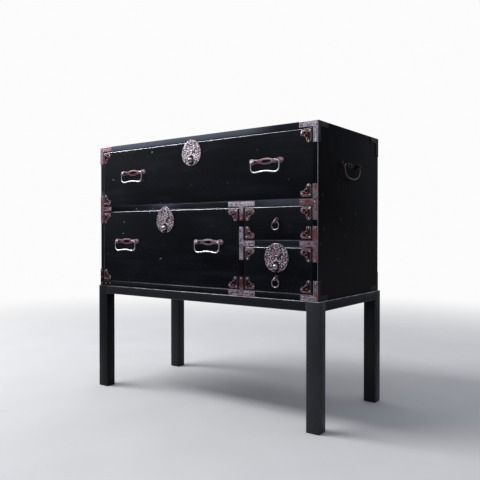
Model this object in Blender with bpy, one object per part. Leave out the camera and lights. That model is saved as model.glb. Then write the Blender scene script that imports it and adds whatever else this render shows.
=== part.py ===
# Clothing tansu: a lacquered chest with four drawers and forged iron fittings, on a plain stand.
# Metres, +Z up. The front faces -Y and the origin is on the floor, under the middle of the chest.

import math

import bmesh
import bpy

# Fits shared by all the pieces
seat_gap = 0.0003
slide_gap = 0.0005
overrun = 0.001

# Chest
chest_width = 0.909
chest_depth = 0.418
chest_height = 0.508
board_thickness = 0.018
back_thickness = 0.009

# Stand
stand_height = 0.372
stand_side_overhang = 0.007
stand_front_overhang = 0.004
leg_width = 0.042
leg_depth = 0.038
leg_arris = 0.0012
stand_rail_height = 0.029
stand_rail_thickness = 0.024
tenon_length = 0.016
tenon_thickness = 0.010
tenon_shoulder = 0.006

# Drawers
drawer_side_clearance = 0.001
drawer_top_clearance = 0.0025
drawer_back_clearance = 0.006
drawer_front_thickness = 0.018
drawer_front_arris = 0.0035
drawer_wall_thickness = 0.010
drawer_bottom_thickness = 0.006
drawer_wall_drop = 0.012

# Irons on the chest's edges
iron_thickness = 0.0012
iron_band_inset = 0.0005
corner_arm = 0.060
tee_end_gap = 0.015

# Scroll brackets at the drawers' corners
scroll_reach = 0.038
scroll_lobe_radius = 0.0088
scroll_eye_radius = 0.0066
scroll_eye_hole_radius = 0.0034
scroll_eye_place = 0.0165
scroll_inset = 0.0048
scroll_thickness = 0.0015

# Drawer handles
handle_plate_length = 0.122
handle_plate_thickness = 0.0018
handle_ring_width = 0.054
handle_ring_height = 0.0195
handle_hole_width = 0.033
handle_hole_height = 0.0074
handle_neck_height = 0.012
handle_lobe_length = 0.022
handle_lobe_height = 0.0165
handle_post_spacing = 0.078
handle_post_width = 0.006
handle_standoff = 0.0095
handle_bend_radius = 0.0078
bail_drop = 0.033
bail_bow = 0.003
bail_corner_radius = 0.011
bail_wire_radius = 0.0025
bail_grip_radius = 0.0034

# Carrying handles on the sides
side_plate_length = 0.125
side_plate_thickness = 0.002
side_boss_width = 0.026
side_boss_height = 0.018
side_neck_height = 0.011
side_lobe_length = 0.024
side_lobe_height = 0.019
side_post_spacing = 0.080
side_post_width = 0.007
side_standoff = 0.0085
side_bend_radius = 0.009
side_bail_drop = 0.0425
side_bail_wire_radius = 0.003
side_bail_grip_radius = 0.0044
side_handle_forward = 0.0055

# Ring pulls
ring_radius = 0.0121
ring_wire_radius = 0.0024
ring_standoff = 0.0075
ring_eye_width = 0.006
ring_eye_play = 0.0008
ring_base_radius = 0.0078
ring_base_rise = 0.0035
ring_base_thickness = 0.0016
ring_plate_clearance = 0.0061

# Locks
lock_plate_thickness = 0.0022
lock_plate_arris = 0.0007
upper_plate_width = 0.082
upper_plate_height = 0.088
upper_plate_below_bay_top = 0.0356
upper_lock_shift = -0.010
peach_radius = 0.042
peach_tip = 0.0095
peach_below_bay_top = 0.039
deep_plate_width = 0.086
deep_plate_height = 0.088
deep_plate_below_bay_top = 0.034
lock_case_width = 0.056
lock_case_above_plate_foot = 0.0125
lock_case_height = 0.050
lock_mortise_wall = 0.005
bolt_width = 0.014
bolt_thickness = 0.004
bolt_setback = 0.0058
bolt_travel = 0.007
bolt_set_down = 0.0005
knob_above_plate_foot = 0.018
knob_stem_radius = 0.002
knob_radius = 0.0095
knob_height = 0.0105
knob_lift = 0.0009
keyhole_length = 0.013
keyhole_width = 0.0032
keyhole_side = 0.0135
keyhole_rise = 0.006

# Shares of the sizes above
upper_bay_height_share = 0.4405
small_bay_height_share = 0.428
right_bay_width_share = 0.2766
handle_height_share = 0.573
upper_handle_spacing_share = 0.646
wide_handle_spacing_share = 0.607
side_handle_height_share = 0.7845
small_ring_height_share = 0.5455
upper_plate_taper_share = 0.07
peach_shoulder_share = 0.36
keyhole_lean_share = 0.42
side_bail_squareness_share = 0.85

# Numbers of steps round the curved stretches
lobe_steps = 8
eye_steps = 4
hole_steps = 10
bend_steps = 5
grip_steps = 8
oval_steps = 14
plate_steps = 56
turned_steps = 20
ring_steps = 28
wire_steps = 8
wire_resolution = 2
arris_steps = 2
sharp_angle = math.radians(35)

# Places that follow from the sizes
front = -chest_depth / 2
back = chest_depth / 2
mitre_gap = seat_gap * math.sqrt(2)
side_inner = chest_width / 2 - board_thickness
upper_bay_height = (chest_height - 3 * board_thickness) * upper_bay_height_share
shelf_top = chest_height - board_thickness - upper_bay_height
shelf_bottom = shelf_top - board_thickness
small_bay_height = (shelf_bottom - 2 * board_thickness) * small_bay_height_share
divider_right = side_inner - (2 * side_inner - board_thickness) * right_bay_width_share
divider_left = divider_right - board_thickness
small_shelf_top = shelf_bottom - small_bay_height
small_shelf_bottom = small_shelf_top - board_thickness
shelf_back = back - back_thickness - seat_gap
stand_half_width = chest_width / 2 + stand_side_overhang
stand_half_depth = chest_depth / 2 + stand_front_overhang
drawer_depth = chest_depth - back_thickness - drawer_back_clearance
iron_band = board_thickness - 2 * iron_band_inset
tee_reach = (small_bay_height + board_thickness - tee_end_gap) / 2
ring_eye_hole_radius = ring_wire_radius + ring_eye_play
lock_case_depth = drawer_front_thickness - lock_mortise_wall - seat_gap

# Each bay as its left and right, floor and ceiling, in the chest's frame
bays = {
    "upper": (-side_inner, side_inner, shelf_top, chest_height - board_thickness),
    "wide": (-side_inner, divider_left, board_thickness, shelf_bottom),
    "small": (divider_right, side_inner, small_shelf_top, shelf_bottom),
    "deep": (divider_right, side_inner, board_thickness, small_shelf_bottom),
}


def bay_size(name):
    """Width and height of a bay."""
    left, right, floor, ceiling = bays[name]
    return right - left, ceiling - floor


def arc(centre, radius, start, end, steps):
    """Points of a round stretch, from one angle to another."""
    angles = [start + (end - start) * step / steps for step in range(steps + 1)]
    return [(centre[0] + radius * math.cos(a), centre[1] + radius * math.sin(a)) for a in angles]


def oval(width, height, steps):
    """Closed oval about the origin."""
    angles = [math.tau * step / steps for step in range(steps)]
    return [(width / 2 * math.cos(a), height / 2 * math.sin(a)) for a in angles]


def on_axis(axis, distance, point):
    """Three coordinates from a distance along one axis and a point in the plane across it."""
    place = list(point)
    place.insert("XYZ".index(axis), distance)
    return place


def prism(outline, axis, start, end):
    """Closed outline pushed along an axis."""
    shape = bmesh.new()
    face = shape.faces.new([shape.verts.new(on_axis(axis, start, point)) for point in outline])
    pushed = bmesh.ops.extrude_face_region(shape, geom=[face])["geom"]
    moved = [item for item in pushed if isinstance(item, bmesh.types.BMVert)]
    bmesh.ops.translate(shape, verts=moved, vec=on_axis(axis, end - start, (0, 0)))
    bmesh.ops.recalc_face_normals(shape, faces=shape.faces)
    return shape


def box(low, high):
    """Box between two corners."""
    shape = bmesh.new()
    bmesh.ops.create_cube(shape, size=1)
    bmesh.ops.scale(shape, verts=shape.verts, vec=[h - l for l, h in zip(low, high)])
    bmesh.ops.translate(shape, verts=shape.verts, vec=[(l + h) / 2 for l, h in zip(low, high)])
    return shape


def turned(profile):
    """Profile of radius and depth, turned about the Y axis."""
    shape = bmesh.new()
    verts = [shape.verts.new((radius, depth, 0)) for radius, depth in profile]
    edges = [shape.edges.new(pair) for pair in zip(verts, verts[1:])]
    bmesh.ops.spin(shape, geom=verts + edges, cent=(0, 0, 0), axis=(0, 1, 0), angle=math.tau,
                   steps=turned_steps, use_merge=True)
    bmesh.ops.remove_doubles(shape, verts=shape.verts, dist=seat_gap / 10)
    bmesh.ops.recalc_face_normals(shape, faces=shape.faces)
    return shape


def soften_front(shape, depth, width, steps):
    """Round the edges of the face that lies at the given depth and looks forwards."""
    near = seat_gap / 10
    faces = [f for f in shape.faces if f.normal.y < 0 and abs(f.calc_center_median().y - depth) < near]
    edges = {edge for face in faces for edge in face.edges}
    bmesh.ops.bevel(shape, geom=list(edges), offset=width, affect="EDGES", segments=steps, profile=0.5)
    return shape


def moved(shape, offset):
    """Shape shifted by an offset."""
    bmesh.ops.translate(shape, verts=shape.verts, vec=offset)
    return shape


def boolean(body, tool, operation):
    """Body with the tool cut away from it or joined to it."""
    objects = []
    for shape in (body, tool):
        mesh = bpy.data.meshes.new("shape")
        shape.to_mesh(mesh)
        shape.free()
        objects.append(bpy.data.objects.new("shape", mesh))
        bpy.context.collection.objects.link(objects[-1])
    modifier = objects[0].modifiers.new("boolean", "BOOLEAN")
    modifier.solver = "EXACT"
    modifier.operation = operation
    modifier.object = objects[1]
    result = bmesh.new()
    result.from_object(objects[0], bpy.context.evaluated_depsgraph_get())
    for item in objects:
        bpy.data.objects.remove(item)
    return result


def cut(body, tool):
    return boolean(body, tool, "DIFFERENCE")


def join(body, tool):
    return boolean(body, tool, "UNION")


def make_material(name, colour, roughness, metallic):
    """Plain finish of one kind of piece."""
    material = bpy.data.materials.new(name)
    material.use_nodes = True
    shader = material.node_tree.nodes["Principled BSDF"]
    shader.inputs["Base Color"].default_value = (*colour, 1)
    shader.inputs["Roughness"].default_value = roughness
    shader.inputs["Metallic"].default_value = metallic
    return material


def add_part(name, shape, material, parent, place=(0, 0, 0), smooth=False):
    """Make the named piece from a shape."""
    mesh = bpy.data.meshes.new(name)
    shape.to_mesh(mesh)
    shape.free()
    mesh.materials.append(material)
    if smooth:
        mesh.shade_smooth()
        mesh.set_sharp_from_angle(angle=sharp_angle)
    part = bpy.data.objects.new(name, mesh)
    bpy.context.collection.objects.link(part)
    part.parent = parent
    part.location = place
    return part


def add_frame(name, parent, place):
    """Empty that carries the pieces of one assembly."""
    frame = bpy.data.objects.new(name, None)
    bpy.context.collection.objects.link(frame)
    frame.parent = parent
    frame.location = place
    return frame


# Stand

def rail_tenon(start, end, axis, across):
    """Tenon on a rail's end, between two distances along the rail."""
    low_z = stand_height - stand_rail_height + tenon_shoulder
    high_z = stand_height - tenon_shoulder
    sides = (across - tenon_thickness / 2, across + tenon_thickness / 2)
    if axis == "X":
        return box((start, sides[0], low_z), (end, sides[1], high_z))
    return box((sides[0], start, low_z), (sides[1], end, high_z))


def stand_leg(side_x, side_y):
    """Leg at one corner, with a mortise for each of its two rails."""
    corner = (side_x * stand_half_width, side_y * stand_half_depth)
    inner = (corner[0] - side_x * leg_width, corner[1] - side_y * leg_depth)
    low = (min(corner[0], inner[0]), min(corner[1], inner[1]), 0)
    high = (max(corner[0], inner[0]), max(corner[1], inner[1]), stand_height)
    leg = box(low, high)
    uprights = [e for e in leg.edges if abs(e.verts[0].co.z - e.verts[1].co.z) > stand_rail_height]
    bmesh.ops.bevel(leg, geom=uprights, offset=leg_arris, affect="EDGES", segments=1, profile=0.5)
    room = (tenon_thickness / 2 + seat_gap, tenon_length + seat_gap)
    low_z = stand_height - stand_rail_height + tenon_shoulder - seat_gap
    high_z = stand_height - tenon_shoulder + seat_gap
    rail_y = corner[1] - side_y * stand_rail_thickness / 2
    across_x = sorted((inner[0] - side_x * overrun, inner[0] + side_x * room[1]))
    leg = cut(leg, box((across_x[0], rail_y - room[0], low_z), (across_x[1], rail_y + room[0], high_z)))
    rail_x = corner[0] - side_x * stand_rail_thickness / 2
    across_y = sorted((inner[1] - side_y * overrun, inner[1] + side_y * room[1]))
    return cut(leg, box((rail_x - room[0], across_y[0], low_z), (rail_x + room[0], across_y[1], high_z)))


def stand_rail_across(side_y):
    """Front or back rail, with a tenon at each end."""
    half = stand_half_width - leg_width - seat_gap
    outer = side_y * stand_half_depth
    depths = sorted((outer, outer - side_y * stand_rail_thickness))
    rail = box((-half, depths[0], stand_height - stand_rail_height), (half, depths[1], stand_height))
    middle = outer - side_y * stand_rail_thickness / 2
    return join(rail, rail_tenon(-half - tenon_length, half + tenon_length, "X", middle))


def stand_rail_along(side_x):
    """Side rail, with a tenon at each end."""
    half = stand_half_depth - leg_depth - seat_gap
    outer = side_x * stand_half_width
    widths = sorted((outer, outer - side_x * stand_rail_thickness))
    rail = box((widths[0], -half, stand_height - stand_rail_height), (widths[1], half, stand_height))
    middle = outer - side_x * stand_rail_thickness / 2
    return join(rail, rail_tenon(-half - tenon_length, half + tenon_length, "Y", middle))


def build_stand(material):
    stand = add_frame("stand", None, (0, 0, 0))
    for y_name, side_y in (("front", -1), ("back", 1)):
        for x_name, side_x in (("left", -1), ("right", 1)):
            add_part(f"stand_leg_{y_name}_{x_name}", stand_leg(side_x, side_y), material, stand)
        add_part(f"stand_rail_{y_name}", stand_rail_across(side_y), material, stand)
    for x_name, side_x in (("left", -1), ("right", 1)):
        add_part(f"stand_rail_{x_name}", stand_rail_along(side_x), material, stand)


# Locks: outline of each plate about its own middle, and where it sits on its drawer

def tapered_outline(width, height, taper_share):
    """Oval that grows narrower towards its top."""
    points = []
    for step in range(plate_steps):
        turn = math.tau * step / plate_steps
        reach = width / 2 * (1 - taper_share * math.cos(turn))
        points.append((reach * math.sin(turn), height / 2 * math.cos(turn)))
    return points


def peach_outline():
    """Round plate drawn up to a point."""
    points = []
    for step in range(plate_steps):
        turn = math.tau * step / plate_steps
        from_top = min(turn, math.tau - turn) / math.pi
        rise = max(0, 1 - from_top / peach_shoulder_share) ** 2
        radius = peach_radius + peach_tip * rise
        points.append((radius * math.sin(turn), radius * math.cos(turn)))
    return points


# Outline, sideways shift from the bay's middle, middle below the bay's ceiling, middle above the foot
locks = {
    "upper": (tapered_outline(upper_plate_width, upper_plate_height, upper_plate_taper_share),
              upper_lock_shift, upper_plate_below_bay_top, upper_plate_height / 2),
    "wide": (peach_outline(), 0, peach_below_bay_top, peach_radius),
    "deep": (tapered_outline(deep_plate_width, deep_plate_height, 0),
             0, deep_plate_below_bay_top, deep_plate_height / 2),
}


def knob_drop(name):
    """Height of the knob below the middle of its plate."""
    return locks[name][3] - knob_above_plate_foot


def case_heights(name):
    """Foot and top of the lock's case, from the middle of its plate."""
    foot = lock_case_above_plate_foot - locks[name][3]
    return foot, foot + lock_case_height


def bolt_heights(name):
    """Foot and top of the bolt, from the middle of its plate."""
    foot = -knob_drop(name) - 2 * knob_stem_radius
    top = locks[name][2] - drawer_top_clearance - bolt_set_down
    return foot, top


def lock_plate(name):
    """Plate with its case behind it, a channel for the bolt, a slot for the knob and a keyhole."""
    plate = prism(locks[name][0], "Y", -seat_gap - lock_plate_thickness, -seat_gap)
    plate = soften_front(plate, -seat_gap - lock_plate_thickness, lock_plate_arris, 1)
    foot, top = case_heights(name)
    half = lock_case_width / 2
    case = box((-half, -seat_gap - lock_plate_thickness / 2, foot), (half, lock_case_depth, top))
    plate = join(plate, case)
    room = bolt_width / 2 + slide_gap
    bolt_foot = bolt_heights(name)[0]
    channel = box((-room, bolt_setback - slide_gap, bolt_foot - slide_gap),
                  (room, bolt_setback + bolt_thickness + slide_gap, top + overrun))
    plate = cut(plate, channel)
    stem_room = knob_stem_radius + slide_gap
    low, high = -knob_drop(name) - stem_room, -knob_drop(name) + bolt_travel + stem_room
    slot = box((-stem_room, -lock_plate_thickness - overrun, low),
               (stem_room, bolt_setback + bolt_thickness / 2, high))
    plate = cut(plate, slot)
    half_key = keyhole_length / 2
    lean = keyhole_length * keyhole_lean_share
    middle = keyhole_width / 2
    key = [(keyhole_side - lean - middle, keyhole_rise - half_key),
           (keyhole_side - lean + middle, keyhole_rise - half_key),
           (keyhole_side + lean + middle, keyhole_rise + half_key),
           (keyhole_side + lean - middle, keyhole_rise + half_key)]
    return cut(plate, prism(key, "Y", -lock_plate_thickness - overrun, bolt_setback / 2))


def lock_bolt(name):
    """Bolt with the stem and the domed knob that work it, its origin at the knob."""
    foot, top = bolt_heights(name)
    drop = knob_drop(name)
    half = bolt_width / 2
    bar = box((-half, bolt_setback, foot + drop), (half, bolt_setback + bolt_thickness, top + drop))
    seat = -seat_gap - lock_plate_thickness - knob_lift
    dome = [(knob_radius * math.cos(a), seat - knob_height * math.sin(a))
            for a in [math.pi / 2 * step / bend_steps for step in range(bend_steps)]]
    profile = [(0, bolt_setback + bolt_thickness / 2), (knob_stem_radius, bolt_setback + bolt_thickness / 2),
               (knob_stem_radius, seat)] + dome + [(0, seat - knob_height)]
    return join(bar, turned(profile))


def lock_middle(name):
    """Sideways and upward place of a lock plate's middle in the chest's frame."""
    left, right, floor, ceiling = bays[name]
    return (left + right) / 2 + locks[name][1], ceiling - locks[name][2]


def rail_mortise(name):
    """Pocket in the board over a drawer that takes the raised bolt."""
    middle = lock_middle(name)[0]
    ceiling = bays[name][3]
    half = bolt_width / 2 + slide_gap
    deep = front + bolt_setback - slide_gap
    return box((middle - half, deep, ceiling - overrun),
               (middle + half, deep + bolt_thickness + 2 * slide_gap, ceiling + bolt_travel))


# Carcass

def corner_plate(sign_y, sign_z, arm, band):
    """Outline of a right-angled iron from its outer corner."""
    points = [(0, 0), (arm, 0), (arm, band), (band, band), (band, arm), (0, arm)]
    return [(sign_y * u, sign_z * v) for u, v in points]


def side_board(side):
    """Side of the chest, mitred at both ends, with the flat irons of its two rear corners."""
    outer = side * chest_width / 2
    inner = side * side_inner
    outline = [(outer, 0), (outer, chest_height), (inner, chest_height - board_thickness),
               (inner, board_thickness)]
    board = prism(outline, "Y", front, back)
    for height, sign_z in ((iron_band_inset, 1), (chest_height - iron_band_inset, -1)):
        iron = [(back - iron_band_inset + u, height + v)
                for u, v in corner_plate(-1, sign_z, corner_arm, iron_band)]
        board = join(board, prism(iron, "X", outer - side * seat_gap, outer + side * iron_thickness))
    return board


def cross_board(height, rise):
    """Top or bottom board, mitred to the sides; rise leads from its outer to its inner face."""
    outer = chest_width / 2 - mitre_gap
    inner = side_inner - mitre_gap
    outline = [(-outer, height), (outer, height), (inner, height + rise), (-inner, height + rise)]
    return prism(outline, "Y", front, back)


def build_carcass(chest, lacquer, pale_wood):
    top = cross_board(chest_height, -board_thickness)
    add_part("top_board", cut(top, rail_mortise("upper")), lacquer, chest)
    add_part("bottom_board", cross_board(0, board_thickness), lacquer, chest)
    add_part("left_side_board", side_board(-1), lacquer, chest)
    add_part("right_side_board", side_board(1), lacquer, chest)
    inner = side_inner - seat_gap
    panel = box((-inner, back - back_thickness, board_thickness + seat_gap),
                (inner, back, chest_height - board_thickness - seat_gap))
    add_part("back_panel", panel, pale_wood, chest)
    shelf = box((-inner, front, shelf_bottom), (inner, shelf_back, shelf_top))
    add_part("middle_shelf", cut(shelf, rail_mortise("wide")), lacquer, chest)
    divider = box((divider_left, front, board_thickness + seat_gap),
                  (divider_right, shelf_back, shelf_bottom - seat_gap))
    add_part("lower_divider", divider, lacquer, chest)
    shelf = box((divider_right + seat_gap, front, small_shelf_bottom), (inner, shelf_back, small_shelf_top))
    add_part("small_shelf", cut(shelf, rail_mortise("deep")), lacquer, chest)


# Irons on the chest's front edges

def corner_iron(side, sign_z):
    """Three-way corner iron: one angle on the front and one on the side, bent from one plate."""
    edge = side * (chest_width / 2 + seat_gap + iron_thickness)
    face = front - seat_gap - iron_thickness
    height = chest_height - iron_band_inset if sign_z < 0 else iron_band_inset
    reach = corner_arm + iron_thickness
    band = iron_band + iron_thickness
    points = corner_plate(-side, sign_z, reach, band)
    on_front = [(edge + u, height + v) for u, v in trimmed_band(points, sign_z)]
    plate = prism(on_front, "Y", face, front - seat_gap)
    on_side = [(face + u, height + v) for u, v in trimmed_band(corner_plate(1, sign_z, reach, band), sign_z)]
    inner = side * (chest_width / 2 + seat_gap)
    return join(plate, prism(on_side, "X", edge, inner))


def trimmed_band(points, sign_z):
    """The same angle with its lying arm no higher than the board's edge."""
    level = sign_z * (iron_band + iron_thickness)
    return [(u, sign_z * iron_band if v == level else v) for u, v in points]


def tee_iron(turns):
    """Tee about the middle of its bar, with its stem along +X turned by quarter turns."""
    half = iron_band / 2
    points = [(-half, -tee_reach), (half, -tee_reach), (half, -half), (tee_reach, -half),
              (tee_reach, half), (half, half), (half, tee_reach), (-half, tee_reach)]
    for _ in range(turns):
        points = [(-v, u) for u, v in points]
    return prism(points, "Y", -seat_gap - iron_thickness, -seat_gap)


def build_irons(chest, iron):
    for z_name, sign_z in (("top", -1), ("bottom", 1)):
        for x_name, side in (("left", -1), ("right", 1)):
            add_part(f"corner_iron_{z_name}_{x_name}", corner_iron(side, sign_z), iron, chest)
    edge = chest_width / 2 - board_thickness / 2
    divider = (divider_left + divider_right) / 2
    upper = (shelf_top + shelf_bottom) / 2
    lower = (small_shelf_top + small_shelf_bottom) / 2
    tees = {
        "left": (-edge, upper, 0),
        "right_upper": (edge, upper, 2),
        "right_lower": (edge, lower, 2),
        "centre_upper": (divider, upper, 3),
        "centre_middle": (divider, lower, 0),
        "centre_lower": (divider, board_thickness / 2, 1),
    }
    for name, (across, height, turns) in tees.items():
        add_part(f"tee_iron_{name}", tee_iron(turns), iron, chest, (across, front, height))


# Drawers: each is drawn about the front, bottom and middle of its bay

def circles_meet(first, first_radius, second, second_radius):
    """Angles, on two circles that cross, of the crossing on the right of the way between them."""
    across, up = second[0] - first[0], second[1] - first[1]
    apart = math.hypot(across, up)
    along = (first_radius ** 2 - second_radius ** 2 + apart ** 2) / (2 * apart)
    aside = math.sqrt(first_radius ** 2 - along ** 2)
    step_across = (along * across + aside * up) / apart
    step_up = (along * up - aside * across) / apart
    return (math.atan2(step_up, step_across),
            math.atan2(step_up - up, step_across - across))


def scroll_outline():
    """Bracket from its outer corner: two curled lobes with a small eye between them."""
    far = scroll_reach - scroll_lobe_radius
    lobe = (far, scroll_lobe_radius)
    eye = (scroll_eye_place, scroll_eye_place)
    lobe_end, eye_start = circles_meet(lobe, scroll_lobe_radius, eye, scroll_eye_radius)
    points = [(0, 0)] + arc(lobe, scroll_lobe_radius, -math.pi / 2, lobe_end, lobe_steps)
    points += arc(eye, scroll_eye_radius, eye_start, math.pi / 2 - eye_start, eye_steps)[1:-1]
    return points + [(v, u) for u, v in reversed(points[1:lobe_steps + 2])]


def scroll_brackets(width, floor, top):
    """Raised brackets at the four corners of a drawer's front."""
    brackets = []
    hole = [(scroll_eye_place + u, scroll_eye_place + v)
            for u, v in oval(2 * scroll_eye_hole_radius, 2 * scroll_eye_hole_radius, hole_steps)]
    for side in (-1, 1):
        for corner_z, sign_z in ((floor + scroll_inset, 1), (top - scroll_inset, -1)):
            corner_x = side * (width / 2 - scroll_inset)
            place = [(corner_x - side * u, corner_z + sign_z * v) for u, v in scroll_outline()]
            bracket = prism(place, "Y", -scroll_thickness, drawer_front_thickness / 2)
            place = [(corner_x - side * u, corner_z + sign_z * v) for u, v in hole]
            brackets.append(cut(bracket, prism(place, "Y", -scroll_thickness - overrun, 0)))
    return brackets


def drawer_front(name):
    """Drawer front with rounded front edges, its raised brackets and the mortise for its lock."""
    bay_width, bay_height = bay_size(name)
    width = bay_width - 2 * drawer_side_clearance
    top = bay_height - drawer_top_clearance
    board = box((-width / 2, 0, seat_gap), (width / 2, drawer_front_thickness, top))
    board = soften_front(board, 0, drawer_front_arris, arris_steps)
    for bracket in scroll_brackets(width, seat_gap, top):
        board = join(board, bracket)
    if name not in locks:
        return board
    middle = locks[name][1]
    height = bay_height - locks[name][2]
    foot, case_top = case_heights(name)
    half = lock_case_width / 2 + seat_gap
    pocket = box((middle - half, -overrun, height + foot - seat_gap),
                 (middle + half, lock_case_depth + seat_gap, height + case_top + seat_gap))
    board = cut(board, pocket)
    half = bolt_width / 2 + slide_gap
    channel = box((middle - half, bolt_setback - slide_gap, height + case_top - overrun),
                  (middle + half, bolt_setback + bolt_thickness + slide_gap, top + overrun))
    return cut(board, channel)


def drawer_box(name):
    """The two sides and the back of a drawer, as one bent frame."""
    bay_width, bay_height = bay_size(name)
    half = bay_width / 2 - drawer_side_clearance
    inner = half - drawer_wall_thickness
    start = drawer_front_thickness + seat_gap
    end = drawer_depth
    outline = [(-half, start), (-inner, start), (-inner, end - drawer_wall_thickness),
               (inner, end - drawer_wall_thickness), (inner, start), (half, start), (half, end), (-half, end)]
    floor = drawer_bottom_thickness + 2 * seat_gap
    return prism(outline, "Z", floor, bay_height - drawer_top_clearance - drawer_wall_drop)


def drawer_bottom(name):
    """Bottom board, nailed up under the sides, on which the drawer runs."""
    half = bay_size(name)[0] / 2 - drawer_side_clearance
    return box((-half, drawer_front_thickness + seat_gap, seat_gap),
               (half, drawer_depth, seat_gap + drawer_bottom_thickness))


def build_drawers(chest, lacquer, pale_wood):
    """All four drawers, each in a frame that slides along -Y."""
    frames = {}
    for name, (left, right, floor, ceiling) in bays.items():
        frame = add_frame(f"{name}_drawer", chest, ((left + right) / 2, front, floor))
        add_part(f"{name}_drawer_front", drawer_front(name), lacquer, frame)
        add_part(f"{name}_drawer_box", drawer_box(name), pale_wood, frame)
        add_part(f"{name}_drawer_bottom", drawer_bottom(name), pale_wood, frame)
        frames[name] = frame
    return frames


def build_locks(frames, iron, steel):
    for name in locks:
        height = bay_size(name)[1] - locks[name][2]
        middle = locks[name][1]
        add_part(f"{name}_lock_plate", lock_plate(name), iron, frames[name], (middle, 0, height))
        add_part(f"{name}_lock_bolt", lock_bolt(name), steel, frames[name],
                 (middle, 0, height - knob_drop(name)), smooth=True)


# Handles: drawn with the pivot's axis along X and the mounting face at +Y

def eye_tab(standoff, eye_radius, base, width):
    """Round-nosed tab that stands on a plate and carries a pivot's eye on the X axis."""
    nose = arc((0, 0), eye_radius, math.pi * 3 / 2, math.pi / 2, hole_steps)
    outline = nose + [(standoff - base, eye_radius), (standoff - base, -eye_radius)]
    return prism(outline, "X", -width / 2, width / 2)


def eye_bore(radius, reach):
    """Cutter for the eyes on one pivot."""
    return prism(oval(2 * radius, 2 * radius, oval_steps), "X", -reach, reach)


def oval_arc(centre, size, start, end):
    """Stretch of an oval's edge, from one angle to another."""
    turns = [start + (end - start) * step / grip_steps for step in range(grip_steps + 1)]
    return [(centre + size[0] / 2 * math.cos(a), size[1] / 2 * math.sin(a)) for a in turns]


def plate_outline(length, middle, neck, lobe):
    """Long plate with an oval middle, two necks and two oval lobes."""
    leave_middle = math.asin(neck / middle[1])
    reach_lobe = math.pi - math.asin(neck / lobe[1])
    upper = oval_arc(0, middle, math.pi / 2, leave_middle)
    upper += oval_arc((length - lobe[0]) / 2, lobe, reach_lobe, 0)
    right = upper + [(u, -v) for u, v in reversed(upper[:-1])]
    return right + [(-u, v) for u, v in reversed(right)][1:-1]


def posts(plate, seat, spacing, width, wire_radius, base):
    """Plate with two posts joined on, bored for the bail's pins."""
    for side in (-1, 1):
        tab = eye_tab(seat, 2 * wire_radius, base, width)
        plate = join(plate, moved(tab, (side * spacing / 2, 0, 0)))
    return cut(plate, eye_bore(wire_radius + slide_gap, spacing))


def handle_plate():
    """Pierced back plate with two posts, its origin on the pivot's axis."""
    outline = plate_outline(handle_plate_length, (handle_ring_width, handle_ring_height),
                            handle_neck_height, (handle_lobe_length, handle_lobe_height))
    seat = handle_standoff - seat_gap
    plate = prism(outline, "Y", seat - handle_plate_thickness, seat)
    hole = prism(oval(handle_hole_width, handle_hole_height, oval_steps), "Y",
                 seat - handle_plate_thickness - overrun, seat + overrun)
    return posts(cut(plate, hole), seat, handle_post_spacing, handle_post_width, bail_wire_radius,
                 handle_plate_thickness / 2)


def pin_and_bend(post_spacing, post_width, bend_radius):
    """Wire from inside one post, out through its eye and round the bend, on the left."""
    pin_start = -(post_spacing / 2 - post_width / 2 - overrun)
    bend_centre = -(post_spacing / 2 + post_width / 2 + slide_gap)
    bend = arc((bend_centre, -bend_radius), bend_radius, math.pi / 2, math.pi, bend_steps)
    return [(pin_start, 0)] + bend


def mirrored_path(half):
    """Wire of both halves, from the left pin's end to the right one's."""
    return half + [(-u, v) for u, v in reversed(half) if u < 0]


def wire_object(name, points, radii, material, parent, place, turn):
    """Round bar along the points, which lie in the XZ plane about the pivot."""
    curve = bpy.data.curves.new(name, "CURVE")
    curve.dimensions = "3D"
    curve.fill_mode = "FULL"
    curve.use_fill_caps = True
    curve.bevel_depth = radii[0]
    curve.bevel_resolution = wire_resolution
    spline = curve.splines.new("POLY")
    spline.points.add(len(points) - 1)
    for spot, (across, height), radius in zip(spline.points, points, radii):
        spot.co = (across, 0, height, 1)
        spot.radius = radius / radii[0]
    curve.materials.append(material)
    wire = bpy.data.objects.new(name, curve)
    bpy.context.collection.objects.link(wire)
    wire.parent = parent
    wire.location = place
    wire.rotation_euler = (0, 0, turn)
    return wire


def drawer_bail(name, material, parent, place):
    """Drawer handle's bail: pins, straight sides, round corners and a grip bowed upwards."""
    half = pin_and_bend(handle_post_spacing, handle_post_width, handle_bend_radius)
    leg = half[-1][0]
    half += arc((leg + bail_corner_radius, bail_corner_radius - bail_drop), bail_corner_radius,
                math.pi, math.pi * 3 / 2, bend_steps)
    grip = -half[-1][0]
    for step in range(1, grip_steps + 1):
        rise = bail_bow * (1 - math.cos(math.pi * step / grip_steps)) / 2
        half.append((-grip * (1 - step / grip_steps), rise - bail_drop))
    points = mirrored_path(half)
    swell = [max(0, 1 - abs(u) / grip) if v < bail_corner_radius - bail_drop else 0 for u, v in points]
    radii = [bail_wire_radius + (bail_grip_radius - bail_wire_radius) * share for share in swell]
    return wire_object(name, points, radii, material, parent, place, 0)


def side_plate():
    """Carrying handle's back plate with two posts."""
    outline = plate_outline(side_plate_length, (side_boss_width, side_boss_height),
                            side_neck_height, (side_lobe_length, side_lobe_height))
    seat = side_standoff - seat_gap
    plate = prism(outline, "Y", seat - side_plate_thickness, seat)
    return posts(plate, seat, side_post_spacing, side_post_width, side_bail_wire_radius,
                 side_plate_thickness / 2)


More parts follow.
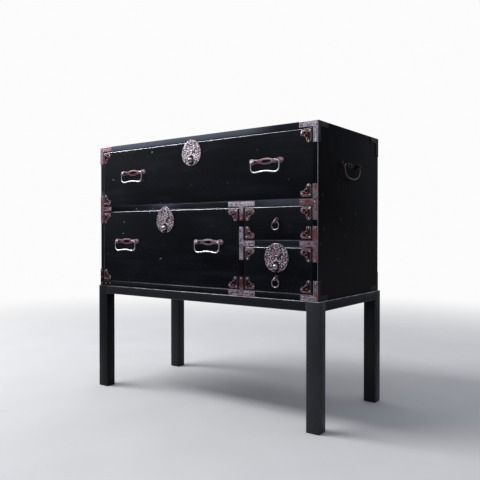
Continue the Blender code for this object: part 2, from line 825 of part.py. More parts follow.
def side_bail(name, material, parent, place, turn):
    """Carrying handle's bail: pins and one deep bow, thickest at its foot."""
    half = pin_and_bend(side_post_spacing, side_post_width, side_bend_radius)
    leg, start = -half[-1][0], -half[-1][1]
    bow = side_bail_drop - start
    power = side_bail_squareness_share
    turns = [math.pi / 2 * step / (2 * grip_steps) for step in range(1, 2 * grip_steps)]
    half += [(-leg * math.cos(a) ** power, -start - bow * math.sin(a) ** power) for a in turns]
    points = mirrored_path(half + [(0, -side_bail_drop)])
    swell = [max(0, (-v - start) / bow) ** 2 for u, v in points]
    growth = side_bail_grip_radius - side_bail_wire_radius
    radii = [side_bail_wire_radius + growth * share for share in swell]
    return wire_object(name, points, radii, material, parent, place, turn)


def build_handles(chest, frames, iron, steel):
    shares = {"upper": upper_handle_spacing_share, "wide": wide_handle_spacing_share}
    for drawer, spacing_share in shares.items():
        bay_width, bay_height = bay_size(drawer)
        for side_name, side in (("left", -1), ("right", 1)):
            place = (side * spacing_share * bay_width / 2, -handle_standoff,
                     handle_height_share * bay_height)
            name = f"{drawer}_{side_name}_handle"
            add_part(f"{name}_plate", handle_plate(), iron, frames[drawer], place, smooth=True)
            drawer_bail(f"{name}_bail", steel, frames[drawer], place)
    for side_name, side in (("left", -1), ("right", 1)):
        place = (side * (chest_width / 2 + side_standoff), -side_handle_forward,
                 side_handle_height_share * chest_height)
        turn = side * math.pi / 2
        plate = add_part(f"side_{side_name}_handle_plate", side_plate(), iron, chest, place, smooth=True)
        plate.rotation_euler = (0, 0, turn)
        side_bail(f"side_{side_name}_handle_bail", iron, chest, place, turn)


# Ring pulls

def ring_eye():
    """Round boss with the eye that holds a ring, its origin in the eye."""
    seat = ring_standoff - seat_gap
    eye_radius = ring_eye_hole_radius + ring_wire_radius
    disc = [(u, v + ring_base_rise) for u, v in oval(2 * ring_base_radius, 2 * ring_base_radius, oval_steps)]
    base = prism(disc, "Y", seat - ring_base_thickness, seat)
    tab = eye_tab(seat, eye_radius, ring_base_thickness / 2, ring_eye_width)
    return cut(join(base, tab), eye_bore(ring_eye_hole_radius, ring_base_radius))


def pull_ring():
    """Plain ring hanging from its highest point."""
    shape = bmesh.new()
    wire = oval(2 * ring_wire_radius, 2 * ring_wire_radius, wire_steps)
    section = [shape.verts.new((0, u, v)) for u, v in wire]
    edges = [shape.edges.new((section[i - 1], section[i])) for i in range(wire_steps)]
    bmesh.ops.spin(shape, geom=section + edges, cent=(0, 0, -ring_radius), axis=(0, 1, 0), angle=math.tau,
                   steps=ring_steps, use_merge=True)
    bmesh.ops.recalc_face_normals(shape, faces=shape.faces)
    return shape


def build_rings(frames, iron, steel):
    plate_foot = bay_size("deep")[1] - deep_plate_below_bay_top - deep_plate_height / 2
    heights = {"small": small_ring_height_share * bay_size("small")[1],
               "deep": plate_foot - ring_plate_clearance - ring_base_radius - ring_base_rise}
    for name, height in heights.items():
        place = (0, -ring_standoff, height)
        add_part(f"{name}_ring_eye", ring_eye(), iron, frames[name], place, smooth=True)
        add_part(f"{name}_ring", pull_ring(), steel, frames[name], place, smooth=True)


def build():
    for item in list(bpy.data.objects):
        bpy.data.objects.remove(item)
    lacquer = make_material("black_lacquer", (0.012, 0.013, 0.016), 0.3, 0)
    stand_paint = make_material("black_stand_paint", (0.014, 0.015, 0.017), 0.45, 0)
    pale_wood = make_material("pale_wood", (0.52, 0.38, 0.23), 0.65, 0)
    iron = make_material("brown_iron", (0.16, 0.10, 0.10), 0.5, 0.8)
    steel = make_material("polished_iron", (0.60, 0.56, 0.56), 0.28, 1)
    build_stand(stand_paint)
    chest = add_frame("chest", None, (0, 0, stand_height + seat_gap))
    build_carcass(chest, lacquer, pale_wood)
    build_irons(chest, iron)
    frames = build_drawers(chest, lacquer, pale_wood)
    build_locks(frames, iron, steel)
    build_handles(chest, frames, iron, steel)
    build_rings(frames, iron, steel)


build()
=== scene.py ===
# %% [markdown]
# A clothing tansu is a lacquered chest for kimono, bound at its corners with forged iron.
# The frame is the packed model of its joinery: it gives every body, and each piece made here
# is set by the boxes of the frame's own pieces, so that nothing has to be fitted by eye.

# %% The frame
import math

import bmesh
import bpy
from mathutils import Matrix, Vector


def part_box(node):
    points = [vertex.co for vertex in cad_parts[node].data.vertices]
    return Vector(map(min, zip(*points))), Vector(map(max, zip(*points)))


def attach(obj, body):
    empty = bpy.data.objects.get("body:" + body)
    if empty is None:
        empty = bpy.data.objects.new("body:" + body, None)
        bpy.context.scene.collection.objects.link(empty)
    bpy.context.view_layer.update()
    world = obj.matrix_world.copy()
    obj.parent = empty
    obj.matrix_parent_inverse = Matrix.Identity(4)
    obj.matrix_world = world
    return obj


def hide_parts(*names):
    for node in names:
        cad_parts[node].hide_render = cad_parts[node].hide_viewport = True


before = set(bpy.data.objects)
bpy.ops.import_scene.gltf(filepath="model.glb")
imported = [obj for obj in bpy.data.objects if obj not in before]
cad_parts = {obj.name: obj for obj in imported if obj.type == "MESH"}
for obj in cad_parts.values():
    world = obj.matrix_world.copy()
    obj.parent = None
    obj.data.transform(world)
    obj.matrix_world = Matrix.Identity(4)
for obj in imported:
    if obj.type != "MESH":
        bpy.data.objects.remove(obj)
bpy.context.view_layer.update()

# %% [markdown]
# The photograph looks at the front and the right side from the height of the lower drawers,
# with vertical edges upright. A camera is placed by its point and its line of sight.
# The angles come from matching the corners of the chest and stand, so they are written as found.
# The plain view transform keeps the black of the lacquer black.

# %% Camera
camera_place = Vector((1.2345, -1.6380, 0.5638))
azimuth, pitch = math.radians(36.28), math.radians(-0.665)
ahead = Vector((-math.sin(azimuth), math.cos(azimuth), 0))
sight = ahead * math.cos(pitch) + Vector((0, 0, math.sin(pitch)))
camera_data = bpy.data.cameras.new("camera")
camera_data.sensor_width = 36
camera_data.lens = 43.44
camera = bpy.data.objects.new("camera", camera_data)
bpy.context.collection.objects.link(camera)
camera.location = camera_place
camera.rotation_euler = sight.to_track_quat("-Z", "Y").to_euler()
bpy.context.scene.camera = camera
bpy.context.scene.view_settings.view_transform = "Standard"
print("camera", round(camera_place.xy.length, 2), "m from the middle of the floor")

# %% [markdown]
# Black lacquer shows little of itself and much of the room, so the light decides how it looks.
# One long soft light hangs up to the left, where it draws the bright lines along the drawers'
# rounded top edges, which their finish also paints pale as a highlight: it is long because each
# end of an edge mirrors another part of the room.
# The room is pale to look at but gives only a dim light, which fails towards the floor, so the
# irons near the top shine and those near the stand stay brown; their finishes paint this in as
# well, paler irons at the top as painted light and darker ones low down as painted shade.

# %% Light
def soft_light(name, place, target, size, power, tint):
    """Oblong soft light that looks at a point, its long side as level with X as can be."""
    data = bpy.data.lights.new(name, "AREA")
    data.shape = "RECTANGLE"
    data.size, data.size_y = size
    data.energy = power
    data.color = tint
    lamp = bpy.data.objects.new(name, data)
    bpy.context.collection.objects.link(lamp)
    back = (Vector(place) - Vector(target)).normalized()
    along = (Vector((1, 0, 0)) - back * back.x).normalized()
    turn = Matrix((along, back.cross(along), back)).transposed()
    lamp.location = place
    lamp.rotation_euler = turn.to_euler()


soft_light("window_light", (-1.9, -1.2, 2.9), (0, 0, 0.5), (3.2, 0.8), 150, (0.97, 0.98, 1.0))
soft_light("ceiling_light", (-0.6, 0.3, 3.4), (0, 0, 0.4), (2.0, 2.0), 20, (0.96, 0.98, 1.0))

room_white, room_dim = (0.97, 0.97, 0.97, 1), (0.84, 0.88, 1.0, 1)
world = bpy.data.worlds.new("room")
world.use_nodes = True
bpy.context.scene.world = world
tree = world.node_tree
tree.nodes.clear()
seen, dim = tree.nodes.new("ShaderNodeBackground"), tree.nodes.new("ShaderNodeBackground")
seen.inputs["Color"].default_value = room_white
dim.inputs["Color"].default_value = room_dim
heading, split = tree.nodes.new("ShaderNodeTexCoord"), tree.nodes.new("ShaderNodeSeparateXYZ")
rise = tree.nodes.new("ShaderNodeMapRange")
rise.interpolation_type = "SMOOTHSTEP"
for socket, value in (("From Min", -0.16), ("From Max", 0.16), ("To Min", 0.03), ("To Max", 0.62)):
    rise.inputs[socket].default_value = value
tree.links.new(heading.outputs["Generated"], split.inputs[0])
tree.links.new(split.outputs["Z"], rise.inputs["Value"])
tree.links.new(rise.outputs["Result"], dim.inputs["Strength"])
chooser, path = tree.nodes.new("ShaderNodeMixShader"), tree.nodes.new("ShaderNodeLightPath")
world_out = tree.nodes.new("ShaderNodeOutputWorld")
tree.links.new(path.outputs["Is Camera Ray"], chooser.inputs[0])
tree.links.new(dim.outputs[0], chooser.inputs[1])
tree.links.new(seen.outputs[0], chooser.inputs[2])
tree.links.new(chooser.outputs[0], world_out.inputs["Surface"])
print("lights", len(bpy.data.lights), "and a room")

# %% [markdown]
# Finishes are built from a few small bricks: a pattern on the object's own coordinates, a
# ramp that turns the pattern into a mask, and a mix of two colours. Patterns on object
# coordinates run on from board to board and stay put when a drawer slides.

# %% Bricks for finishes
class Finish:
    """Principled shader with helpers for the patterns that feed it."""

    def __init__(self, name, roughness, metallic=0.0, specular=0.5):
        self.material = bpy.data.materials.new(name)
        self.material.use_nodes = True
        self.tree = self.material.node_tree
        self.shader = self.tree.nodes["Principled BSDF"]
        values = {"Roughness": roughness, "Metallic": metallic, "Specular IOR Level": specular}
        for socket, value in values.items():
            self.shader.inputs[socket].default_value = value
        self.place = self.node("TexCoord").outputs["Object"]

    def node(self, kind, values=None):
        """New node, its sockets set to the values."""
        made = self.tree.nodes.new(f"ShaderNode{kind}")
        for socket, value in (values or {}).items():
            made.inputs[socket].default_value = value
        return made

    def link(self, source, target):
        self.tree.links.new(source, target)

    def feed(self, item, socket):
        """Give a socket a number, a colour or another node's output."""
        if isinstance(item, (int, float)):
            socket.default_value = item
        elif isinstance(item, tuple):
            socket.default_value = (*item, 1)
        else:
            self.link(item, socket)

    def stretched(self, scale, shift=(0, 0, 0)):
        mapping = self.node("Mapping", {"Scale": scale, "Location": shift})
        self.link(self.place, mapping.inputs["Vector"])
        return mapping.outputs["Vector"]

    def noise(self, scale, detail=4.0, stretch=(1, 1, 1), rough=0.5, shift=(0, 0, 0)):
        pattern = self.node("TexNoise", {"Scale": scale, "Detail": detail, "Roughness": rough})
        self.link(self.stretched(stretch, shift), pattern.inputs["Vector"])
        return pattern.outputs["Fac"]

    def specks(self, scale, radius):
        """Small round spots scattered over the surface."""
        pattern = self.node("TexVoronoi", {"Scale": scale})
        self.link(self.stretched((1, 1, 1)), pattern.inputs["Vector"])
        return self.mask(pattern.outputs["Distance"], radius, radius * 0.4)

    def position(self, axis):
        """One coordinate of the point: X grows to the right, Z is the height above the floor."""
        split = self.node("SeparateXYZ")
        self.link(self.place, split.inputs[0])
        return split.outputs[axis]

    def attribute(self, name):
        reader = self.node("Attribute")
        reader.attribute_name = name
        return reader.outputs["Fac"]

    def mask(self, value, low, high):
        """0 at the low value, 1 at the high one, smooth between."""
        ramp = self.node("MapRange", {"From Min": low, "From Max": high})
        ramp.interpolation_type = "SMOOTHSTEP"
        self.link(value, ramp.inputs["Value"])
        return ramp.outputs["Result"]

    def between(self, value, low, high):
        """The value's range from 0 to 1 spread over another range."""
        ramp = self.node("MapRange", {"To Min": low, "To Max": high})
        self.link(value, ramp.inputs["Value"])
        return ramp.outputs["Result"]

    def times(self, first, second):
        product = self.node("Math")
        product.operation = "MULTIPLY"
        self.feed(first, product.inputs[0])
        self.feed(second, product.inputs[1])
        return product.outputs[0]

    def mixed(self, share, first, second):
        """Two colours, or outputs with colours, mixed by a mask."""
        mix = self.node("Mix")
        mix.data_type = "RGBA"
        self.link(share, mix.inputs[0])
        self.feed(first, mix.inputs[6])
        self.feed(second, mix.inputs[7])
        return mix.outputs[2]

    def colour(self, output):
        self.link(output, self.shader.inputs["Base Color"])

    def roughness(self, output):
        self.link(output, self.shader.inputs["Roughness"])

    def metal(self, output):
        self.link(output, self.shader.inputs["Metallic"])

    def bump(self, height, depth, strength):
        """Dents on top of those that the finish has already."""
        dents = self.node("Bump", {"Distance": depth, "Strength": strength})
        self.link(height, dents.inputs["Height"])
        normal = self.shader.inputs["Normal"]
        if normal.is_linked:
            self.link(normal.links[0].from_socket, dents.inputs["Normal"])
        self.link(dents.outputs["Normal"], normal)


def scaled(colour, share):
    return tuple(min(1, share * part) for part in colour)


print("finish helpers", len([name for name in vars(Finish) if not name.startswith("_")]))

# %% [markdown]
# The lacquer is many thin black coats over wood. Years of wiping leave it a deep black with
# cloudy shine, fine sideways scratches and a few chips, and its rounded edges are rubbed
# grey. The cloudy haze is partly real and partly a painted bluish sheen, which stands in for the
# room mirrored in the lacquer, and the front of the top board is painted almost wholly as sheen.
# The rounded edges that face up or out are also painted pale as a highlight. The rails between
# the drawers catch more dust and knocks than the drawers do, so they get the same finish with
# stronger wear and more painted sheen. A painted texture would repeat and blur up close, while
# noise stretched along the grain stays crisp.

# %% Lacquer finishes
dust_tone, chipped_tone = (0.22, 0.22, 0.22), (0.20, 0.175, 0.16)
lighter_foot_heights = (0.68, 0.42)
right_sheen_span, left_sheen_span = (0.20, 0.33), (-0.04, -0.42)


def lacquer(name, depth, haze_and_sheen, haze_and_sheen_share, roughness, specular, wear, stretch,
            edge_wear_and_highlight=(0.16, 0.165, 0.20), painted_lighter_foot=None, right_end_sheen=None, left_end_sheen=None):
    """Old black lacquer: its own colour, the grey haze on it, partly a painted sheen, and the wear
    of its edges, which on the brightest edges is also a painted highlight.

    It can be painted paler towards the foot as light, and a tone can be painted at either end as
    a sheen that changes along the chest, with duller shine there."""
    finish = Finish(name, roughness, specular=specular)
    clouds = finish.noise(5.0, 5, stretch=(1, 1, 1.6))
    streaks = finish.noise(34.0, 6, stretch=stretch, rough=0.62)
    scratches = finish.mask(finish.noise(210.0, 3, stretch=stretch, shift=(3, 1, 2)), 0.655, 0.70)
    dust = finish.times(finish.specks(190.0, 0.12), finish.mask(finish.noise(9.0, 3), 0.50, 0.62))
    # The haze mask also places the painted sheen: a bluish tone standing in for the room mirrored in the
    # lacquer.
    haze_and_sheen_mask = finish.times(finish.mask(streaks, 0.40, 0.72), finish.mask(clouds, 0.35, 0.70))
    haze_and_sheen_mask = finish.times(haze_and_sheen_mask, haze_and_sheen_share)
    base = finish.mixed(haze_and_sheen_mask, depth, haze_and_sheen)
    # Paints the lower part paler, as painted light.
    if painted_lighter_foot:
        base = finish.mixed(finish.mask(finish.position("Z"), *lighter_foot_heights), base, painted_lighter_foot)
    base = finish.mixed(finish.times(scratches, 0.35 * haze_and_sheen_share), base, haze_and_sheen)
    base = finish.mixed(finish.times(dust, 0.5), base, dust_tone)
    chips = finish.mask(finish.noise(62.0, 4, stretch=(0.6, 1, 1), shift=(5, 2, 7)), 0.715, 0.735)
    base = finish.mixed(finish.times(chips, wear), base, chipped_tone)
    edge_breakup = finish.mask(finish.noise(80.0, 5, stretch=stretch, rough=0.7, shift=(1, 4, 2)), 0.36, 0.66)
    edges = finish.times(finish.times(finish.attribute("edge"), finish.between(edge_breakup, 0.25, 1.0)), 0.8)
    # A tone at either end paints the sheen changing along the chest, lighter or darker as the mirrored room
    # is; edge tone and shine are dimmed there too.
    for tone, span, kept in ((right_end_sheen, right_sheen_span, 0.45), (left_end_sheen, left_sheen_span, 0.08)):
        if tone:
            near_sheen_end = finish.mask(finish.position("X"), *span)
            base = finish.mixed(near_sheen_end, base, tone)
            edges = finish.times(edges, finish.between(near_sheen_end, 1.0, kept))
            level = finish.shader.inputs["Specular IOR Level"]
            dimmed = finish.between(near_sheen_end, 1.0, kept)
            before = level.links[0].from_socket if level.is_linked else specular
            finish.link(finish.times(dimmed, before), level)
    finish.colour(finish.mixed(edges, base, edge_wear_and_highlight))
    finish.roughness(finish.between(haze_and_sheen_mask, roughness, roughness + 0.30))
    finish.bump(finish.noise(2.6, 3, stretch=stretch), 0.0016, 0.30)
    finish.bump(finish.noise(240.0, 2, stretch=stretch), 0.0002, 0.20)
    return finish.material


along_x, along_y, along_z = (0.10, 1, 1), (1, 0.10, 1), (1, 1, 0.10)
rail_look = dict(depth=(0.0038, 0.0046, 0.0085), haze_and_sheen=(0.036, 0.046, 0.078), haze_and_sheen_share=0.9, roughness=0.30,
                 specular=0.18, wear=0.9, stretch=along_x)
highlit_arris_look = dict(depth=(0.0050, 0.0060, 0.0100), haze_and_sheen=(0.042, 0.052, 0.080), haze_and_sheen_share=0.9, roughness=0.12,
                  specular=1.0, wear=0.6, stretch=along_x, right_end_sheen=(0.0040, 0.0046, 0.0080))
drawer_lacquer = lacquer(
    "drawer_lacquer", depth=(0.0017, 0.0018, 0.0034), haze_and_sheen=(0.010, 0.012, 0.021), haze_and_sheen_share=0.45,
    roughness=0.24, specular=0.15, wear=0.5, stretch=along_x, edge_wear_and_highlight=(0.040, 0.041, 0.050))
stile_lacquer = lacquer(
    "stile_lacquer", depth=(0.0016, 0.0017, 0.0028), haze_and_sheen=(0.007, 0.008, 0.012), haze_and_sheen_share=0.35,
    roughness=0.40, specular=0.03, wear=0.4, stretch=along_z, edge_wear_and_highlight=(0.010, 0.010, 0.012))
rail_lacquer = lacquer("rail_lacquer", **rail_look)
# The middle shelf's front is painted paler at its right end and darker at its left, as painted reflection.
shelf_lacquer = lacquer("shelf_lacquer", **rail_look, right_end_sheen=(0.046, 0.052, 0.067),
                        left_end_sheen=(0.0022, 0.0023, 0.0036))
# The front of the top board is painted pale bluish as a sheen, standing in for the room mirrored there, and
# darker at its right end where that painted reflection fades.
crown_sheen_lacquer = lacquer(
    "crown_sheen_lacquer", depth=(0.090, 0.101, 0.128), haze_and_sheen=(0.170, 0.192, 0.240), haze_and_sheen_share=0.9,
    roughness=0.30, specular=0.20, wear=0.9, stretch=along_x, right_end_sheen=(0.014, 0.016, 0.024))
# These two paint the bright line along the upward and outward rounded edges: their pale edge tone is a
# painted highlight over real rubbing, darker at the right end, and for the low edge at the left end.
highlit_arris_lacquer = lacquer("highlit_arris_lacquer", **highlit_arris_look, edge_wear_and_highlight=(0.36, 0.38, 0.44))
low_highlit_arris = lacquer("low_highlit_arris", **highlit_arris_look, edge_wear_and_highlight=(0.40, 0.42, 0.48),
                    left_end_sheen=(0.0030, 0.0034, 0.0050))
for finish in (highlit_arris_lacquer, low_highlit_arris):
    finish.node_tree.nodes["Principled BSDF"].inputs["IOR"].default_value = 2.6
# The side is painted paler towards its foot, as painted light.
side_lacquer = lacquer(
    "side_lacquer", depth=(0.0060, 0.0060, 0.0072), haze_and_sheen=(0.017, 0.017, 0.020), haze_and_sheen_share=0.6,
    roughness=0.30, specular=0.005, wear=0.6, stretch=along_z, painted_lighter_foot=(0.0165, 0.0158, 0.0165))
top_lacquer = lacquer(
    "top_lacquer", depth=(0.003, 0.0034, 0.0048), haze_and_sheen=(0.022, 0.026, 0.036), haze_and_sheen_share=0.5,
    roughness=0.28, specular=0.20, wear=0.4, stretch=along_x)
print("lacquers", len(bpy.data.materials))

# %% [markdown]
# The stand has plain satin paint. The insides are bare paulownia, the light wood that such
# chests are made of: its grain is noise drawn out along the board, in bands and in lines, and
# each plank of the back has a tone of its own.

# %% Paint and bare wood
def stand_paint(name, specular, edge_tone, tone=1.0, left_kept=1.0):
    """Plain black satin paint with a tone on its edges, rubbing on most and a painted highlight on the upper
    ones, and where asked duller towards its left end, where that edge tone fades.
    """
    finish = Finish(name, 0.5, specular=specular)
    cloud = finish.noise(7.0, 4)
    base = finish.mixed(cloud, scaled((0.0036, 0.0040, 0.0052), tone), scaled((0.0085, 0.0092, 0.0118), tone))
    edge_breakup = finish.mask(finish.noise(45.0, 5), 0.35, 0.70)
    edges = finish.times(finish.attribute("edge"), finish.between(edge_breakup, 0.25, 0.9))
    if left_kept < 1:
        near_left = finish.mask(finish.position("X"), 0.0, -0.42)
        edges = finish.times(edges, finish.between(near_left, 1.0, left_kept))
        finish.link(finish.between(near_left, specular, left_kept * specular),
                    finish.shader.inputs["Specular IOR Level"])
    finish.colour(finish.mixed(edges, base, edge_tone))
    finish.roughness(finish.between(finish.noise(22.0, 4), 0.34, 0.52))
    finish.bump(finish.noise(330.0, 3), 0.00015, 0.3)
    return finish.material


def bare_wood(name, stretch, pale, dark):
    """Paulownia: straight bands and lines of grain, open pores, and a tone of its own for each plank."""
    finish = Finish(name, 0.62, specular=0.30)
    straight = tuple(0.22 * s if s < 1 else s for s in stretch)
    bands = finish.mask(finish.noise(48.0, 3, stretch=straight), 0.42, 0.60)
    lines = finish.mask(finish.noise(190.0, 3, stretch=straight, rough=0.7, shift=(2, 3, 1)), 0.47, 0.62)
    pores = finish.mask(finish.noise(900.0, 2, stretch=stretch, shift=(6, 2, 4)), 0.60, 0.68)
    soiled = finish.mask(finish.noise(4.0, 4, shift=(4, 4, 1)), 0.45, 0.70)
    base = finish.mixed(bands, pale, dark)
    base = finish.mixed(finish.times(lines, 0.50), base, scaled(dark, 0.55))
    base = finish.mixed(finish.times(pores, 0.35), base, scaled(dark, 0.35))
    base = finish.mixed(finish.times(finish.attribute("plank"), 0.55), base, scaled(dark, 0.55))
    finish.colour(finish.mixed(finish.times(soiled, 0.30), base, scaled(dark, 0.40)))
    finish.roughness(finish.between(lines, 0.52, 0.78))
    finish.bump(lines, 0.0004, 0.40)
    return finish.material


# The front legs are lit and shaded copies of the paint: the front left darker as painted shade, the front
# right paler as painted light.
leg_black = stand_paint("leg_black", 0.20, (0.035, 0.036, 0.040))
shaded_leg = stand_paint("shaded_leg", 0.12, (0.020, 0.021, 0.025), tone=0.75)
lit_leg = stand_paint("lit_leg", 0.28, (0.030, 0.031, 0.036), tone=1.9)
rail_black = stand_paint("rail_black", 0.20, (0.13, 0.135, 0.15))
# Painted highlight for the upper edges of the bars, fading towards the left end.
highlit_rail_edge = stand_paint("highlit_rail_edge", 0.8, (0.46, 0.47, 0.51), left_kept=0.25)
paulownia = {"pale": (0.50, 0.36, 0.215), "dark": (0.33, 0.215, 0.115)}
wood_across = bare_wood("wood_across", along_x, **paulownia)
wood_deep = bare_wood("wood_deep", along_y, **paulownia)
wood_shaded = bare_wood("wood_shaded", along_x, (0.24, 0.165, 0.095), (0.14, 0.09, 0.05))
back_wood = bare_wood("back_wood", along_x, (0.36, 0.265, 0.170), (0.225, 0.150, 0.088))
print("finishes", len(bpy.data.materials))

# %% [markdown]
# The fittings are forged iron, blacked and then long since turned to a purplish brown, with
# redder rust where hands never reach and bright metal where they do. Rust isn't a metal to the
# eye, so the metallic share falls where the rust mask is. Bevelled rims carry an attribute,
# edge, and rims are paler, because they are rubbed clean first and because their tone is also a
# painted highlight. Fine pale specks are painted glints, and the scroll irons are painted darker
# towards the foot as shade. Each iron has its clean tone, its rust, the level of noise from which
# the rust shows, the tone of its rim and its roughness.

# %% Iron finishes
def iron(name, clean, rust, rust_from, rim, roughness, grain=1.0, rusty=None, foot_shade=0.0):
    """Brown iron with rust in patches, or all over past a height, paler rims that are rubbed and painted as a
    highlight, painted glints, and a foot painted darker as shade.
    """
    finish = Finish(name, roughness, metallic=0.7, specular=0.25)
    patches = finish.mask(finish.noise(30.0 * grain, 5, rough=0.6), rust_from, rust_from + 0.16)
    fine = finish.noise(420.0 * grain, 4, rough=0.65, shift=(2, 6, 1))
    base = finish.mixed(finish.mask(fine, 0.38, 0.60), scaled(clean, 0.55), clean)
    base = finish.mixed(patches, base, rust)
    pits = finish.times(finish.mask(finish.noise(150.0 * grain, 3, shift=(5, 5, 2)), 0.50, 0.60), 0.70)
    base = finish.mixed(pits, base, scaled(rust, 0.45))
    # Fine pale specks painted as glints.
    glint_specks = finish.times(finish.mask(finish.noise(700.0, 2, shift=(7, 3, 3)), 0.63, 0.70), 0.7)
    base = finish.mixed(glint_specks, base, scaled(clean, 1.9))
    # Rims get a tone that is rubbing and also a painted highlight.
    worn = finish.times(finish.attribute("edge"), finish.between(finish.noise(160.0, 3), 0.35, 1.0))
    base = finish.mixed(worn, base, rim)
    if rusty:
        base = finish.mixed(finish.times(finish.mask(finish.position("Z"), *rusty), 0.85), base, rust)
    # Painted shade: the iron is darker towards the foot.
    if foot_shade:
        foot_shade_share = finish.mask(finish.position("Z"), 0.82, 0.40)
        base = finish.mixed(finish.times(foot_shade_share, foot_shade), base, scaled(clean, 0.12))
    finish.colour(base)
    finish.metal(finish.between(patches, 0.80, 0.30))
    finish.roughness(finish.between(fine, roughness - 0.12, roughness + 0.16))
    finish.bump(finish.noise(95.0 * grain, 4), 0.0005, 0.45)
    finish.bump(fine, 0.00018, 0.5)
    return finish.material


# The corner and tee tones are lit and shaded copies: paler irons at the top as painted light, darker ones low
# down as painted shade.
band_iron = iron("band_iron", (0.58, 0.515, 0.575), (0.34, 0.19, 0.19), 0.58, (0.78, 0.73, 0.80), 0.36)
rose_iron = iron("rose_iron", (0.62, 0.46, 0.49), (0.46, 0.20, 0.20), 0.46, (0.82, 0.72, 0.76), 0.36)
red_iron = iron("red_iron", (0.29, 0.215, 0.24), (0.155, 0.038, 0.036), 0.44, (0.50, 0.42, 0.47), 0.38)
middle_tee = iron("middle_tee", (0.46, 0.40, 0.45), (0.22, 0.085, 0.085), 0.53, (0.62, 0.55, 0.61), 0.37)
upper_tee = iron("upper_tee", (0.62, 0.545, 0.62), (0.15, 0.036, 0.034), 0.62, (0.74, 0.68, 0.76), 0.36,
                 rusty=(0.642, 0.612))
lower_tee = iron("lower_tee", (0.31, 0.25, 0.29), (0.075, 0.018, 0.017), 0.54, (0.46, 0.38, 0.42), 0.38,
                 rusty=(0.388, 0.410))
grey_iron = iron("grey_iron", (0.28, 0.24, 0.28), (0.18, 0.070, 0.070), 0.52, (0.48, 0.42, 0.47), 0.38)
low_iron = iron("low_iron", (0.009, 0.0045, 0.005), (0.040, 0.0045, 0.004), 0.42, (0.030, 0.010, 0.010), 0.50)
low_iron.node_tree.nodes["Principled BSDF"].inputs["Specular IOR Level"].default_value = 0.08
scroll_iron = iron("scroll_iron", (0.010, 0.006, 0.007), (0.055, 0.007, 0.006), 0.46, (0.3, 0.2, 0.2), 0.46,
                   grain=2.0, foot_shade=0.5)
# Its very pale rim tone is a painted highlight.
scroll_rim = iron("scroll_rim", (0.38, 0.31, 0.35), (0.13, 0.030, 0.030), 0.55, (0.84, 0.80, 0.88), 0.32,
                  grain=2.0, foot_shade=0.5)
curl_iron = iron("curl_iron", (0.25, 0.105, 0.105), (0.20, 0.020, 0.016), 0.50, (0.3, 0.2, 0.2), 0.32,
                 grain=2.0, foot_shade=0.5)
collar_iron = iron("collar_iron", (0.24, 0.11, 0.115), (0.24, 0.045, 0.045), 0.38, (0.50, 0.30, 0.32), 0.36)
# Iron painted near black as shade, for the irons and nails on the sides and back and for parts inside.
shaded_side_iron = iron("shaded_side_iron", (0.028, 0.022, 0.022), (0.026, 0.014, 0.013), 0.50, (0.060, 0.052, 0.052), 0.5)
plate_iron = iron("plate_iron", (0.30, 0.225, 0.255), (0.22, 0.055, 0.052), 0.50, (0.72, 0.64, 0.70), 0.34)
scroll_pale = iron("scroll_pale", (0.150, 0.115, 0.128), (0.110, 0.030, 0.028), 0.50, (0.3, 0.2, 0.2), 0.44,
                   grain=2.0, foot_shade=0.3)
post_iron = iron("post_iron", (0.17, 0.12, 0.13), (0.13, 0.030, 0.028), 0.50, (0.50, 0.43, 0.47), 0.28)
collar_pale = iron("collar_pale", (0.33, 0.24, 0.26), (0.24, 0.060, 0.060), 0.52, (0.60, 0.50, 0.54), 0.36)
stud_iron = iron("stud_iron", (0.56, 0.50, 0.55), (0.25, 0.10, 0.10), 0.62, (0.80, 0.74, 0.80), 0.30)
nail_iron = iron("nail_iron", (0.75, 0.70, 0.72), (0.32, 0.18, 0.17), 0.62, (0.85, 0.80, 0.82), 0.28)
print("finishes with brown iron", len(bpy.data.materials))

# %% [markdown]
# Bails, knobs and rings are kept bright by hands, so they are clean metal with stains in their
# hollows, but the bails of the sides are painted dark as shade. The lock plates are chiselled:
# their finish reads the height of the carving, which leaves the worn heights pale and the hollows
# black and red, and paints the lowest places black as shade.

# %% Bright and chiselled iron
def bright_iron(name, colour, stain, roughness):
    """Iron that hands keep bright, stained in its hollows and lightly hammered."""
    finish = Finish(name, roughness, metallic=1.0)
    stains = finish.mask(finish.noise(70.0, 4, shift=(1, 1, 8)), 0.50, 0.72)
    base = finish.mixed(finish.noise(260.0, 3), scaled(colour, 0.8), colour)
    finish.colour(finish.mixed(finish.times(stains, 0.7), base, stain))
    wiped = finish.noise(120.0, 4, shift=(2, 2, 2))
    finish.roughness(finish.between(wiped, roughness - 0.08, roughness + 0.14))
    finish.bump(finish.noise(110.0, 2), 0.0009, 0.25)
    return finish.material


bail_iron = bright_iron("bail_iron", (0.74, 0.71, 0.72), (0.30, 0.22, 0.20), 0.27)
knob_iron = bright_iron("knob_iron", (0.38, 0.335, 0.345), (0.09, 0.040, 0.040), 0.13)
ring_iron = bright_iron("ring_iron", (0.38, 0.335, 0.34), (0.16, 0.08, 0.075), 0.22)
# The carrying bails are painted dark as shade, like the rest of the shaded side.
shaded_carry_iron = bright_iron("shaded_carry_iron", (0.15, 0.125, 0.115), (0.05, 0.038, 0.034), 0.36)


rust_red, hollow_black, hollow_red, painted_shade_black = ((0.36, 0.13, 0.12), (0.016, 0.010, 0.012),
                                                  (0.085, 0.018, 0.018), (0.004, 0.003, 0.003))


